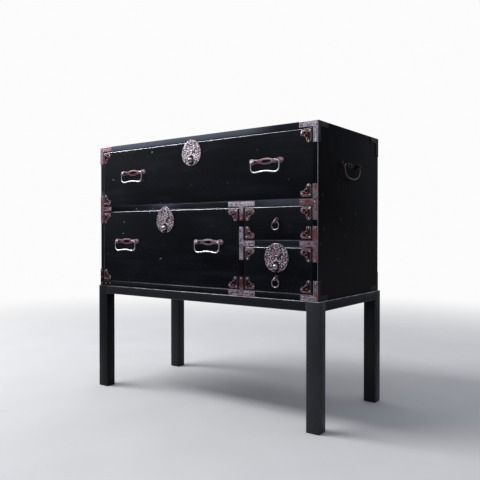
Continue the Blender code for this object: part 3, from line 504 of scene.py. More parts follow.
def relief_iron(name, light, low, high):
    """Chiselled lock plate: pale worn heights above the high level, hollows of rust below the low one, and
    the lowest places painted black as shade.
    """
    finish = Finish(name, 0.45, metallic=0.75)
    height = finish.attribute("relief")
    fine = finish.noise(520.0, 4, rough=0.65)
    patches = finish.mask(finish.noise(85.0, 3, shift=(3, 5, 9)), 0.50, 0.60)
    grain = finish.mask(finish.noise(270.0, 2, shift=(8, 1, 4)), 0.42, 0.56)
    worn = finish.mixed(grain, scaled(light, 0.27), light)
    worn = finish.mixed(finish.times(patches, 0.6), worn, rust_red)
    hollow = finish.mixed(patches, hollow_black, hollow_red)
    base = finish.mixed(finish.mask(height, low, high), hollow, worn)
    # Below a tenth of the height the finish is painted black as shade.
    finish.colour(finish.mixed(finish.mask(height, 0.02, 0.10), painted_shade_black, base))
    finish.metal(finish.between(finish.mask(height, 0.2, 0.8), 0.35, 0.85))
    finish.roughness(finish.between(fine, 0.34, 0.62))
    finish.bump(fine, 0.0002, 0.5)
    return finish.material


lock_finishes = {"upper": relief_iron("upper_relief", (0.86, 0.81, 0.87), 0.42, 0.58),
                 "wide": relief_iron("wide_relief", (0.98, 0.87, 0.96), 0.62, 0.78),
                 "deep": relief_iron("deep_relief", (0.68, 0.59, 0.69), 0.62, 0.78)}
print("all finishes of the chest", len(bpy.data.materials))

# %% [markdown]
# Most of a chest is boards and bars. A board begins as a cube operator, scaled and moved into
# place, and its edges are then bevelled, since no real edge is sharp and the bevel is what
# catches the light. The faces of the bevel are marked as edge, so that the finish can wear
# them.

# %% Helpers for shapes
def slab(low, high):
    """Board between two corners."""
    bm = bmesh.new()
    bmesh.ops.create_cube(bm, size=1)
    size = Vector(high) - Vector(low)
    bmesh.ops.scale(bm, verts=bm.verts, vec=size)
    bmesh.ops.translate(bm, verts=bm.verts, vec=Vector(low) + size / 2)
    return bm


def rounded(bm, chosen, width, segments=2):
    """Bevel the edges that the test chooses and mark the new faces."""
    layer = bm.faces.layers.float.get("edge") or bm.faces.layers.float.new("edge")
    edges = [edge for edge in bm.edges if chosen(edge)]
    made = bmesh.ops.bevel(bm, geom=edges, offset=width, offset_type="OFFSET", affect="EDGES",
                           segments=segments, profile=0.5, material=-1, clamp_overlap=True)
    for face in made["faces"]:
        face[layer] = 1.0
    return bm


def every_edge(edge):
    return len(edge.link_faces) == 2 and edge.calc_face_angle(0) > 0.5


def at_depth(depth):
    """Test for edges in the plane of one depth that bound it."""
    def chosen(edge):
        flat = all(abs(vert.co.y - depth) < 1e-6 for vert in edge.verts)
        return flat and edge.calc_face_angle(0) > 0.5
    return chosen


def carve(bm, cutter):
    """Shape with the cutter taken away from it."""
    pair = []
    for shape in (bm, cutter):
        mesh = bpy.data.meshes.new("rough")
        shape.to_mesh(mesh)
        shape.free()
        pair.append(bpy.data.objects.new("rough", mesh))
        bpy.context.collection.objects.link(pair[-1])
    modifier = pair[0].modifiers.new("carve", "BOOLEAN")
    modifier.solver = "EXACT"
    modifier.operation = "DIFFERENCE"
    modifier.object = pair[1]
    result = bmesh.new()
    result.from_object(pair[0], bpy.context.evaluated_depsgraph_get())
    for item in pair:
        bpy.data.objects.remove(item)
    return result


def joined(shapes):
    """Several shapes in one mesh."""
    result = bmesh.new()
    for shape in shapes:
        mesh = bpy.data.meshes.new("part")
        shape.to_mesh(mesh)
        shape.free()
        result.from_mesh(mesh)
        bpy.data.meshes.remove(mesh)
    return result


def placed(bm, matrix):
    bmesh.ops.transform(bm, matrix=matrix, verts=bm.verts)
    return bm


def moved(bm, way):
    return placed(bm, Matrix.Translation(way))


def verts_of(made):
    return [item for item in made["geom"] if isinstance(item, bmesh.types.BMVert)]


def edges_of(made):
    return [item for item in made["geom"] if isinstance(item, bmesh.types.BMEdge)]


def extruded(bm, faces, way):
    """Shape with some of its faces pushed out, all of its faces looking outwards."""
    made = bmesh.ops.extrude_face_region(bm, geom=faces)
    bmesh.ops.translate(bm, verts=verts_of(made), vec=way)
    bmesh.ops.recalc_face_normals(bm, faces=bm.faces)
    return bm


facing_front = Matrix.Rotation(math.pi / 2, 4, "X")
facing_side = Matrix.Rotation(math.pi / 2, 4, "Y")


def oval_prism(width, height, start, end, steps):
    """Oval bar along Y between two depths."""
    bm = bmesh.new()
    bmesh.ops.create_circle(bm, cap_ends=True, radius=1, segments=steps,
                            matrix=Matrix.Diagonal((width / 2, 1, height / 2, 1)) @ facing_front)
    return extruded(moved(bm, (0, start, 0)), list(bm.faces), (0, end - start, 0))


def dome(place, radius, height, direction=(0, -1, 0), sides=12):
    """Nail head: the upper half of a flattened sphere."""
    bm = bmesh.new()
    bmesh.ops.create_uvsphere(bm, u_segments=sides, v_segments=6, radius=radius)
    geom = list(bm.verts) + list(bm.edges) + list(bm.faces)
    bmesh.ops.bisect_plane(bm, geom=geom, plane_co=(0, 0, 0), plane_no=(0, 0, 1), clear_inner=True)
    rim = [edge for edge in bm.edges if edge.is_boundary]
    bmesh.ops.edgeloop_fill(bm, edges=rim)
    bmesh.ops.scale(bm, verts=bm.verts, vec=(1, 1, height / radius))
    turn = Vector(direction).to_track_quat("Z", "Y").to_matrix().to_4x4()
    return placed(bm, Matrix.Translation(place) @ turn)


nail_head = dome((0, 0, 0), 0.002, 0.001)
print("a nail head has", len(nail_head.faces), "faces")
nail_head.free()

# %% [markdown]
# A shape becomes a piece of the chest when it has its finish, the body that it moves with and
# the nodes of the frame that it stands for. Its faces can then be given another finish by where
# they are or by the way they face. The frame is also measured here: the depth of its front, its
# foot and crown, the thickness of a board and half the chest's width.

# %% Finished pieces
def shown(name, bm, finish, body, replaces=(), angle=32):
    """Make the finished piece, ride it on its body and hide the frame's pieces that it stands for."""
    bmesh.ops.recalc_face_normals(bm, faces=bm.faces)
    mesh = bpy.data.meshes.new(name)
    bm.to_mesh(mesh)
    bm.free()
    for item in finish if isinstance(finish, list) else [finish]:
        mesh.materials.append(item)
    mesh.shade_smooth()
    mesh.set_sharp_from_angle(angle=math.radians(angle))
    piece = bpy.data.objects.new(name, mesh)
    bpy.context.collection.objects.link(piece)
    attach(piece, body)
    if replaces:
        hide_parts(*replaces)
    return piece


def painted(piece, chosen, index):
    """Give the faces that the test chooses another of the piece's finishes."""
    for face in piece.data.polygons:
        if chosen(face.center, face.normal):
            face.material_index = index


def painted_edges(piece, chosen, index):
    """The same for the faces of its bevels, by the way they face."""
    marks = piece.data.attributes["edge"].data
    for face in piece.data.polygons:
        if marks[face.index].value > 0.5 and chosen(face.normal):
            face.material_index = index


def middle_of(node):
    low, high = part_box(node)
    return (low + high) / 2


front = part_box("middle_shelf")[0].y
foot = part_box("bottom_board")[0].z
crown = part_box("top_board")[1].z
fit = 0.0003
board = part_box("middle_shelf")[1].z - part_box("middle_shelf")[0].z
half_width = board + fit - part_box("middle_shelf")[0].x
print("front at", round(front, 4), "chest from", round(foot, 4), "to", round(crown, 4))

# %% [markdown]
# The floor is plain and pale, and runs out into the white of the room a metre from the chest,
# as a studio floor runs up into a white wall. That white is only to be seen: the far floor
# gives off no light of its own, since the room lies in shade behind whoever looks.

# %% Floor
near_floor, far_floor, unlit_floor = (0.95, 1.5), (1.0, 3.6), (0.10, 0.10, 0.10)
floor_finish = Finish("floor_finish", 0.75, specular=0.2)
length = floor_finish.node("VectorMath")
length.operation = "LENGTH"
floor_finish.link(floor_finish.stretched((1, 1, 0)), length.inputs[0])
away = length.outputs["Value"]
mottle = floor_finish.mixed(floor_finish.noise(3.5, 5), (0.44, 0.435, 0.43), (0.52, 0.515, 0.51))
rays = floor_finish.node("LightPath").outputs["Is Camera Ray"]
unseen = floor_finish.between(rays, 1.0, 0.0)
shaded = floor_finish.times(floor_finish.mask(away, *near_floor), unseen)
floor_finish.colour(floor_finish.mixed(shaded, mottle, unlit_floor))
white_room = floor_finish.node("Emission", {"Color": room_white})
whitened = floor_finish.mask(away, *far_floor)
blend = floor_finish.node("MixShader")
floor_finish.link(floor_finish.times(whitened, rays), blend.inputs[0])
floor_finish.link(floor_finish.shader.outputs[0], blend.inputs[1])
floor_finish.link(white_room.outputs[0], blend.inputs[2])
floor_finish.link(blend.outputs[0], floor_finish.tree.nodes["Material Output"].inputs["Surface"])
disc = bmesh.new()
bmesh.ops.create_circle(disc, cap_ends=True, radius=14, segments=96)
floor_mesh = bpy.data.meshes.new("floor")
disc.to_mesh(floor_mesh)
disc.free()
floor_mesh.materials.append(floor_finish.material)
floor = bpy.data.objects.new("floor", floor_mesh)
bpy.context.collection.objects.link(floor)
print("floor", round(floor.dimensions.x), "m across")

# %% [markdown]
# The stand is new beside the chest: four square legs and four rails in plain black, but the front
# left leg is painted darker as shade and the front right one paler as light. Each is a bevelled
# bar, cut off where it meets its neighbour, so the joints show as fine lines, and the edges of
# its upper side are painted pale as a highlight.

# %% Stand
leg_paints = {"front_left": shaded_leg, "front_right": lit_leg,
              "back_left": leg_black, "back_right": leg_black}
leg_bevel, rail_bevel = 0.0013, 0.0015


def stand_bar(node, low, high, paint, radius, segments):
    """Bar with bevelled edges, those of its upper side painted pale as a highlight."""
    bar = rounded(slab(low, high), every_edge, radius, segments)
    piece = shown(f"{node}_bar", bar, [paint, highlit_rail_edge], "chest", [node])
    painted_edges(piece, lambda n: n.z > 0.2, 1)


for place, paint in leg_paints.items():
    node = f"stand_leg_{place}"
    stand_bar(node, *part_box(node), paint, leg_bevel, 2)
leg_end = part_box("stand_leg_front_left")[1] + Vector((fit, fit, 0))
for place in ("front", "back", "left", "right"):
    node = f"stand_rail_{place}"
    low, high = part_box(node)
    if place in ("front", "back"):
        low.x, high.x = leg_end.x, -leg_end.x
    else:
        low.y, high.y = leg_end.y, -leg_end.y
    stand_bar(node, low, high, rail_black, rail_bevel, 3)
print("stand of 8 bars")

# %% [markdown]
# The carcass boards are mitred at the corners, and the lock bolts shoot up into pockets in the
# rails. A board that meets its neighbour at a mitre is a slab whose inner edge is drawn in, and
# the pocket is cut with a Boolean because it is a plain square hole. Behind the strip at the
# front that is lacquered all round, the inner faces are bare wood.

# %% Carcass
inside_start, back_plane = front + 0.022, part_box("back_panel")[1].y
thin_arris, shelf_arris, wide_arris = 0.0009, 0.0012, 0.0014
way_half, way_near, way_far = 0.0075, front + 0.0053, front + 0.0103
overlap, bolt_rise = 0.001, 0.007


def bolt_way(name, low_z, high_z):
    """Cutter for the square way of a lock's bolt between two heights."""
    x = middle_of(f"{name}_lock_bolt").x
    return slab((x - way_half, way_near, low_z), (x + way_half, way_far, high_z))


def bolt_pocket(name, board_low):
    """Cutter for the pocket over a lock bolt."""
    return bolt_way(name, board_low - overlap, board_low + bolt_rise)


def split_behind_front(bm):
    """Divide the faces behind the strip at the front that is lacquered all round."""
    geom = list(bm.verts) + list(bm.edges) + list(bm.faces)
    bmesh.ops.bisect_plane(bm, geom=geom, plane_co=(0, inside_start, 0), plane_no=(0, 1, 0))
    return bm


def mitred(low, high, axis, inner):
    """Slab with both ends of its inner face drawn in by its thickness."""
    bm = slab(low, high)
    across = 2 if axis == 0 else 0
    for vert in bm.verts:
        if abs(vert.co[across] - inner) < 1e-6:
            vert.co[axis] += -board if vert.co[axis] > (low[axis] + high[axis]) / 2 else board
    return split_behind_front(bm)


def eased(bm, radius, segments=2):
    """Board with its edges rounded at the front and at the back."""
    return rounded(rounded(bm, at_depth(front), radius, segments), at_depth(back_plane), wide_arris)


low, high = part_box("top_board")
top = eased(carve(mitred(low, high, 0, low.z), bolt_pocket("upper", crown - board)), thin_arris)
piece = shown("top_board_lacquered", top, [top_lacquer, crown_sheen_lacquer, wood_shaded], "chest",
              ["top_board"])
# Its front gets the lacquer painted as sheen.
painted(piece, lambda c, n: n.y < -0.3, 1)
painted(piece, lambda c, n: n.z < -0.9 and c.y > inside_start, 2)
low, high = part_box("bottom_board")
bottom = eased(mitred(low, high, 0, high.z), thin_arris)
piece = shown("bottom_board_lacquered", bottom, [top_lacquer, drawer_lacquer, wood_shaded, low_highlit_arris],
              "chest", ["bottom_board"])
painted(piece, lambda c, n: n.y < -0.3, 1)
painted(piece, lambda c, n: n.z > 0.9 and c.y > inside_start, 2)
# Its upward rounded edge is painted as a highlight.
painted_edges(piece, lambda n: n.z > 0.2, 3)
for name, side in (("left", -1), ("right", 1)):
    low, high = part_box(f"{name}_side_board")
    outer, inner = side * half_width, side * (half_width - board)
    low.x, high.x = min(outer, inner), max(outer, inner)
    upright = eased(mitred(low, high, 2, inner), wide_arris, 3)
    # The left stile is painted with more sheen than the right, as painted reflection.
    stile = rail_lacquer if name == "left" else stile_lacquer
    piece = shown(f"{name}_side_lacquered", upright, [side_lacquer, stile, wood_shaded, highlit_arris_lacquer],
                  "chest", [f"{name}_side_board"])
    painted(piece, lambda c, n: n.y < -0.3, 1)
    painted(piece, lambda c, n: n.x * side < -0.9 and c.y > inside_start, 2)
    # Its outward rounded edges are painted as a highlight.
    painted_edges(piece, lambda n: n.x * side > 0.1, 3)
for node, lock, finish in (("middle_shelf", "wide", shelf_lacquer), ("small_shelf", "deep", rail_lacquer),
                           ("lower_divider", None, stile_lacquer)):
    low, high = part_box(node)
    shelf = split_behind_front(slab(low, high))
    if lock:
        shelf = carve(shelf, bolt_pocket(lock, low.z))
    shelf = rounded(shelf, at_depth(front), shelf_arris)
    piece = shown(f"{node}_lacquered", shelf, [finish, wood_shaded], "chest", [node])
    painted(piece, lambda c, n: c.y > inside_start and n.y > -0.5, 1)
print("carcass of", 7, "boards")

# %% [markdown]
# The back is four planks of bare wood, each with a tone of its own, nailed to the boards round
# them. Their widths are shares of the whole height, because sawn planks are never all alike.

# %% Back planks
low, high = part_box("back_panel")
plank_shares, plank_tones = (0.0, 0.27, 0.51, 0.77, 1.0), (0.20, 0.95, 0.0, 0.65)
plank_gap, nail_margin = 0.0014, 0.007
back_nail = {"radius": 0.0023, "height": 0.0007, "direction": (0, 1, 0)}
planks, nail_places = [], []
for row, tone in enumerate(plank_tones):
    start, end = (low.z + share * (high.z - low.z) for share in plank_shares[row:row + 2])
    plank = slab((low.x, low.y, start + plank_gap / 2), (high.x, high.y, end - plank_gap / 2))
    plank = rounded(plank, every_edge, 0.0018, 2)
    layer = plank.faces.layers.float.new("plank")
    for face in plank.faces:
        face[layer] = tone
    planks.append(plank)
    nail_places += [(x, start + share * (end - start)) for share in (0.2, 0.8)
                    for x in (low.x + nail_margin, high.x - nail_margin)]
nail_places += [(low.x + step / 8 * (high.x - low.x), z) for step in range(1, 8)
                for z in (low.z + nail_margin, high.z - nail_margin)]
back_nails = [dome((x, high.y, z), **back_nail) for x, z in nail_places]
shown("back_planks", joined(planks), back_wood, "chest", ["back_panel"])
shown("back_nails", joined(back_nails), shaded_side_iron, "chest")
print("back planks", len(planks), "and nails", len(nail_places))

# %% [markdown]
# Each drawer has a lacquered front with rounded edges and a plain wooden body: two sides, a
# back and a bottom, nailed together. The rounding of the front is what shows as a bright line
# along its top, and its finish there is painted pale as a highlight. The lock's case sits in a
# pocket behind the plate, with a channel for the bolt.

# %% Drawers
drawer_names = ("upper", "wide", "small", "deep")
lock_nodes = {name: f"{name}_lock_plate" for name in ("upper", "wide", "deep")}
case_half, case_height, case_above_foot = 0.028, 0.050, 0.0125
wall, drawer_arris = 0.010, 0.0020
lacquer_depth, pocket_depth = 0.0045, 0.016


def front_board(name):
    """Drawer front with rounded edges and, where it has a lock, the pocket for it."""
    low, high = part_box(f"{name}_drawer_front")
    low.y = front
    bm = rounded(slab(low, high), at_depth(front), drawer_arris, 5)
    if name not in lock_nodes:
        return bm
    plate_low, plate_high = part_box(lock_nodes[name])
    x = middle_of(f"{name}_lock_bolt").x
    case_low = plate_low.z + case_above_foot
    case_top = case_low + case_height
    pocket = slab((x - case_half - fit, front - 2 * overlap, case_low - fit),
                  (x + case_half + fit, plate_high.y + fit, case_top + fit))
    return carve(carve(bm, pocket), bolt_way(name, case_top - overlap, high.z + overlap))


def thin_board(low, high, radius=0.0006):
    return rounded(slab(low, high), every_edge, radius, 1)


for name in drawer_names:
    body = f"{name}_drawer"
    top_highlit_arris = low_highlit_arris if name == "wide" else highlit_arris_lacquer
    piece = shown(f"{body}_face", front_board(name), [drawer_lacquer, wood_across, top_highlit_arris, stile_lacquer],
                  body, [f"{body}_front"])
    # The upward rounded edge is painted as a highlight.
    painted_edges(piece, lambda n: n.z > 0.05, 2)
    painted_edges(piece, lambda n: abs(n.x) > 0.3, 3)
    painted(piece, lambda c, n: c.y > front + lacquer_depth and n.y > 0.5, 1)
    if name in lock_nodes:
        painted(piece, lambda c, n: c.y > front + pocket_depth, 1)
    low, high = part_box(f"{body}_box")
    sides = [thin_board(low, (low.x + wall, high.y, high.z)), thin_board((high.x - wall, low.y, low.z), high)]
    shown(f"{body}_sides", joined(sides), wood_deep, body, [f"{body}_box"])
    end = thin_board((low.x + wall + fit, high.y - wall, low.z), (high.x - wall - fit, high.y, high.z))
    shown(f"{body}_end", end, wood_across, body)
    shown(f"{body}_floor", thin_board(*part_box(f"{body}_bottom"), 0.0005), wood_across, body,
          [f"{body}_bottom"])

# %% [markdown]
# Corner and tee irons are cut from sheet, filed round at their rims and engraved with a line
# that runs inside the rim. An outline is drawn as one face, pushed out to the sheet's
# thickness, bevelled, and inset twice: the second inset is pushed down, which leaves the line.
# Nails with domed heads hold them near the ends of each arm.

# %% Irons from sheet
iron_thick, groove_width, groove_depth = 0.0012, 0.0006, 0.0005


def plate_face(bm):
    """The large face of a plate, which looks to -Y."""
    return max(bm.faces, key=lambda face: face.calc_area() if face.normal.y < -0.9 else 0)


def sheet_iron(outline, thick=iron_thick, rim=0.00045, line=0.0026):
    """Engraved plate from its outline in the XZ plane, its back at depth 0 and its face to -Y."""
    bm = bmesh.new()
    face = bm.faces.new([bm.verts.new((u, 0, v)) for u, v in outline])
    bm = rounded(extruded(bm, [face], (0, -thick, 0)), at_depth(-thick), rim, 2)
    if line:
        top = [plate_face(bm)]
        bmesh.ops.inset_region(bm, faces=top, thickness=line, use_even_offset=True)
        for depth in (-groove_depth, groove_depth):
            bmesh.ops.inset_region(bm, faces=top, thickness=groove_width, depth=depth, use_even_offset=True)
    return bm


def angle_outline(arm, band, sign_u, sign_v):
    points = [(0, 0), (arm, 0), (arm, band), (band, band), (band, arm), (0, arm)]
    return [(sign_u * u, sign_v * v) for u, v in points]


def quarter_turned(points, turns):
    for _ in range(turns):
        points = [(-v, u) for u, v in points]
    return points


def tee_outline(reach, width, turns):
    half = width / 2
    points = [(-half, -reach), (half, -reach), (half, -half), (reach, -half),
              (reach, half), (half, half), (half, reach), (-half, reach)]
    return quarter_turned(points, turns)


def turned_to_side(place, side):
    """Matrix that stands a front piece against one side of the chest."""
    return Matrix.Translation(place) @ Matrix.Rotation(side * math.pi / 2, 4, "Z")


print("engraved line", groove_width * 1000, "mm wide")

# %% [markdown]
# A corner iron is two angles, one on the front and one bent round to the side. Its arms and its
# band differ a little from corner to corner, and so do its rust and its tone: the tone is painted
# paler at the top as light and darkest at the low left as shade, and the bent arm is painted dark
# as the shaded side.

# %% Corner irons
corner_finishes = {"top_left": rose_iron, "top_right": band_iron,
                   "bottom_left": low_iron, "bottom_right": grey_iron}
corner_sizes = {"top_left": (0.0612, 0.0164), "top_right": (0.0612, 0.0164),
                "bottom_left": (0.0600, 0.0160), "bottom_right": (0.0572, 0.0152)}
front_nail, side_nail = {"radius": 0.0021, "height": 0.0012}, {"radius": 0.0019, "height": 0.0009}
nail_from_end, inner_nail, side_nail_far, side_nail_near = 0.0067, 0.030, 0.050, 0.0070
iron_margin = 0.0005
face_y = front - fit - iron_thick
front_nails, side_nails = [], []


def iron_start(sign_z):
    """Height from which a corner iron's upright arm runs down, or up."""
    return crown - iron_margin if sign_z < 0 else foot + iron_margin


def corner_piece(name, side, sign_z):
    """Angle on the front and angle on the side, as bent from one sheet."""
    arm, band = corner_sizes[name]
    height = iron_start(sign_z)
    edge_x = side * (half_width + fit + iron_thick)
    flat = moved(sheet_iron(angle_outline(arm, band, -side, sign_z)), (edge_x, front - fit, height))
    bent = sheet_iron(angle_outline(arm - iron_thick, band - iron_thick, 1, sign_z))
    bent = placed(bent, turned_to_side((edge_x - side * iron_thick, front - fit, height), side)
                  @ Matrix.Diagonal((side, 1, 1, 1)))
    end, middle = arm - nail_from_end, band / 2
    places = [(middle, middle)]
    for reach in (end, inner_nail):
        places += [(reach, middle), (middle, reach)]
    for along, up in places:
        front_nails.append(dome((edge_x - side * along, face_y, height + sign_z * up), **front_nail))
    for along, up in ((side_nail_far, side_nail_near), (side_nail_near, side_nail_far)):
        place = (edge_x, front + along, height + sign_z * up)
        side_nails.append(dome(place, **side_nail, direction=(side, 0, 0)))
    node = f"corner_iron_{name}"
    piece = shown(f"{node}_engraved", joined([flat, bent]), [corner_finishes[name], shaded_side_iron], "chest",
                  [node])
    # The arm bent round to the side is painted as shaded iron.
    painted(piece, lambda c, n: c.y > front - 0.0002 or n.x * side > 0.6, 1)


for z_name, sign_z in (("top", -1), ("bottom", 1)):
    for x_name, side in (("left", -1), ("right", 1)):
        corner_piece(f"{z_name}_{x_name}", side, sign_z)
print("corner irons", len(corner_sizes))

# %% [markdown]
# A tee iron ties the end of a shelf or an upright to the board that it meets. One outline
# serves all six, turned by quarters. Of the three in the middle, the upper one grows redder
# downwards and the lower one upwards; the upper one is also painted paler as light and the lower
# one darker as shade.

# %% Tee irons
tee_band, tee_drop, tee_shorter, centre_inwards, nail_inwards = 0.0152, 0.0013, 0.0018, 0.0085, 0.006
tee_turns = {"left": 0, "right_upper": 2, "right_lower": 2, "centre_upper": 3, "centre_middle": 0,
             "centre_lower": 1}
tee_finishes = {"centre_upper": upper_tee, "centre_middle": middle_tee, "centre_lower": lower_tee}
for name, turns in tee_turns.items():
    node = f"tee_iron_{name}"
    low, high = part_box(node)
    middle = (low + high) / 2
    reach = max(high.x - low.x, high.z - low.z) / 2 - tee_shorter
    inwards = centre_inwards if name == "centre_middle" else tee_band / 2
    x, z = {0: (low.x + inwards, middle.z - tee_drop),
            1: (middle.x, low.z + centre_inwards),
            2: (high.x - inwards, middle.z - tee_drop),
            3: (middle.x, high.z - centre_inwards - tee_drop / 2)}[turns]
    plate = moved(sheet_iron(tee_outline(reach, tee_band, turns)), (x, front - fit, z))
    shown(f"{node}_engraved", plate, tee_finishes.get(name, red_iron), "chest", [node])
    end = reach - nail_inwards
    for u, v in quarter_turned([(0, end), (0, -end), (end, 0), (0, 0)], turns):
        front_nails.append(dome((x + u, face_y, z + v), **front_nail))
print("tee irons", len(tee_turns))

# %% [markdown]
# The rear irons are plain angles on the side boards only, painted dark as shade. The heads of
# all the irons' nails are then joined into two pieces, brighter ones for the front and ones for
# the sides painted dark as shade.

# %% Rear irons and nails
rear_arm, rear_band, rear_nail_inwards = 0.060, 0.017, 0.008
far, near = rear_arm - rear_nail_inwards, rear_band / 2
for x_name, side in (("left", -1), ("right", 1)):
    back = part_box(f"{x_name}_side_board")[1].y
    for z_name, sign_z in (("top", -1), ("bottom", 1)):
        height = iron_start(sign_z)
        plate = sheet_iron(angle_outline(rear_arm, rear_band, -1, sign_z))
        plate = placed(plate, turned_to_side((side * half_width, back - iron_margin, height), side)
                       @ Matrix.Diagonal((side, 1, 1, 1)))
        shown(f"rear_iron_{x_name}_{z_name}", plate, shaded_side_iron, "chest")
        for along, up in ((far, near), (near, far), (near, near)):
            place = (side * (half_width + iron_thick), back - along, height + sign_z * up)
            side_nails.append(dome(place, **side_nail, direction=(side, 0, 0)))
shown("iron_nails_front", joined(front_nails), stud_iron, "chest")
shown("iron_nails_side", joined(side_nails), shaded_side_iron, "chest")
print("nail heads", len(front_nails) + len(side_nails))

# %% [markdown]
# Curls, bails and lips are round bars. A bar is a row of circles that stand across its path and
# are bridged, so that it can be thick here and thin there.

# %% Arcs and bars
def arc_points(centre, radius, start, end, steps):
    turns = [start + (end - start) * step / steps for step in range(steps + 1)]
    return [(centre[0] + radius * math.cos(a), centre[1] + radius * math.sin(a)) for a in turns]


def tube(path, radii, segments):
    """Round bar along a path in the XZ plane: circles stood across it and bridged."""
    bm = bmesh.new()
    loops = []
    for index, point in enumerate(path):
        before, after = path[max(index - 1, 0)], path[min(index + 1, len(path) - 1)]
        tangent = (Vector(after) - Vector(before)).normalized()
        side = Vector((0, 1, 0))
        across = side.cross(tangent)
        turn = Matrix((across, side, -tangent)).transposed().to_4x4()
        cap = index in (0, len(path) - 1)
        made = bmesh.ops.create_circle(bm, cap_ends=cap, radius=radii[index], segments=segments,
                                       matrix=Matrix.Translation(point) @ turn)
        ring = set(made["verts"])
        loops.append([edge for edge in bm.edges if edge.verts[0] in ring and edge.verts[1] in ring])
    for first, second in zip(loops, loops[1:]):
        bmesh.ops.bridge_loops(bm, edges=first + second)
    return bm


def spiral(centre, radius, start, turns, steps):
    """Points of a curl that winds in to about a fifth of its radius."""
    points = []
    for step in range(steps + 1):
        share = step / steps
        angle = start + math.tau * turns * share
        reach = radius * (1 - 0.78 * share)
        points.append((centre[0] + reach * math.cos(angle), centre[1] + reach * math.sin(angle)))
    return points


print("points of a curl", len(spiral((0, 0), 1, 0, 1.15, 18)))

# %% [markdown]
# Every drawer corner carries a scroll bracket, pierced and curled like a young fern. Its outline
# is drawn with arcs: a lobe at the end of each leg and a small eye between them. A raised wire
# of iron runs along each curl.

# %% One scroll bracket
lobe, lobe_radius = (0.0292, 0.0088), 0.0088
eye, eye_radius = (0.0165, 0.0165), 0.0074
hole_radius, lip_wire, curl_wire = 0.0052, 0.0007, 0.0009
bracket_thick, bracket_sunk, rim_width, step_width = 0.0017, 0.0005, 0.0009, 0.0003
curl_start = [(0.005, 0.005), (0.012, 0.0058), (0.020, 0.0045)]


def half_opening(radius, other_radius, apart):
    """Angle at a circle's centre between the other centre and the point where the circles cross."""
    return math.acos((apart ** 2 + radius ** 2 - other_radius ** 2) / (2 * apart * radius))


def scroll_outline():
    """Bracket from its outer corner: lobe, notch where the lobe meets the eye, eye and the same again."""
    apart = math.dist(lobe, eye)
    towards_eye = math.atan2(eye[1] - lobe[1], eye[0] - lobe[0])
    lobe_end = towards_eye - half_opening(lobe_radius, eye_radius, apart)
    eye_start = towards_eye - math.pi + half_opening(eye_radius, lobe_radius, apart)
    points = [(0, 0)] + arc_points(lobe, lobe_radius, -math.pi / 2, lobe_end, 20)
    points += arc_points(eye, eye_radius, eye_start, math.pi / 4, 6)[1:]
    return points + [(v, u) for u, v in reversed(points[1:-1])]


def bracket_parts():
    """The pierced plate and what is raised on it, for the lower left corner of a drawer."""
    plate = sheet_iron(scroll_outline(), bracket_thick, 0.0005, 0)
    top = [plate_face(plate)]
    for width, sunk in ((rim_width, 0), (step_width, bracket_sunk)):
        bmesh.ops.inset_region(plate, faces=top, thickness=width, depth=-sunk, use_even_offset=True)
    hole = oval_prism(2 * hole_radius, 2 * hole_radius, 0.002, -0.004, 20)
    plate = carve(plate, moved(hole, (eye[0], 0, eye[1])))
    lip = arc_points(eye, hole_radius + lip_wire, 0, math.tau, 24)
    curls = [tube([(u, -0.0014, v) for u, v in lip], [lip_wire] * len(lip), 6)]
    for swap in (False, True):
        path = curl_start + spiral(lobe, 0.0060, -math.pi / 2 - 0.5, 1.15, 18)
        path = [(v, u) if swap else (u, v) for u, v in path]
        radii = [curl_wire * min(1, 0.4 + 4 * step / len(path)) for step in range(len(path))]
        curls.append(tube([(u, -0.0015, v) for u, v in path], radii, 6))
    return plate, joined(curls)


print("scroll bracket's outline has", len(scroll_outline()), "points")

# %% [markdown]
# One bracket serves all the corners of the drawers: its mesh is copied and mirrored, and three
# domed nails are set on each copy. Those beside the divider have paler fields, but for the
# lowest ones.

# %% Scroll brackets
def transformed_copy(source, matrix):
    bm = bmesh.new()
    bm.from_mesh(source)
    return placed(bm, matrix)


bracket_meshes = []
for part in bracket_parts():
    bracket_meshes.append(bpy.data.meshes.new("bracket"))
    part.to_mesh(bracket_meshes[-1])
inset, outer_inset, narrower, lower = 0.0048, 0.0018, 0.91, 0.94
bracket_nails = ((0.0052, 0.0052), (0.0330, 0.0088), (0.0088, 0.0330))
bracket_nail = {"radius": 0.0023, "height": 0.0013}
bracket_seat = front - 0.0001
field = bracket_seat - bracket_thick + bracket_sunk
divider_x, pale_reach, pale_above = middle_of("lower_divider").x, 0.07, 0.48
for name in drawer_names:
    low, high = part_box(f"{name}_drawer_front")
    plates, curl_parts, nails = [], [], []
    for side, edge_x in ((1, low.x), (-1, high.x)):
        corner_x = edge_x + side * (inset if abs(edge_x - divider_x) < 0.02 else outer_inset)
        for sign_z, corner_z in ((1, low.z + inset), (-1, high.z - inset)):
            matrix = (Matrix.Translation((corner_x, bracket_seat, corner_z))
                      @ Matrix.Diagonal((side * narrower, 1, sign_z * lower, 1)))
            for copies, mesh in zip((plates, curl_parts), bracket_meshes):
                copies.append(transformed_copy(mesh, matrix))
            for u, v in bracket_nails:
                place = (corner_x + side * narrower * u, front - 0.0015, corner_z + sign_z * lower * v)
                nails.append(dome(place, **bracket_nail))
    piece = shown(f"{name}_scroll_brackets", joined(plates), [scroll_rim, scroll_iron, scroll_pale],
                  f"{name}_drawer")
    painted(piece, lambda c, n: n.y < -0.9 and abs(c.y - field) < 5e-5, 1)
    painted(piece, lambda c, n: n.y < -0.9 and abs(c.y - field) < 5e-5
            and abs(c.x - divider_x) < pale_reach and c.z > pale_above, 2)
    shown(f"{name}_scroll_curls", joined(curl_parts), curl_iron, f"{name}_drawer")
    shown(f"{name}_bracket_nails", joined(nails), nail_iron, f"{name}_drawer")
print("scroll brackets", 4 * len(drawer_names))

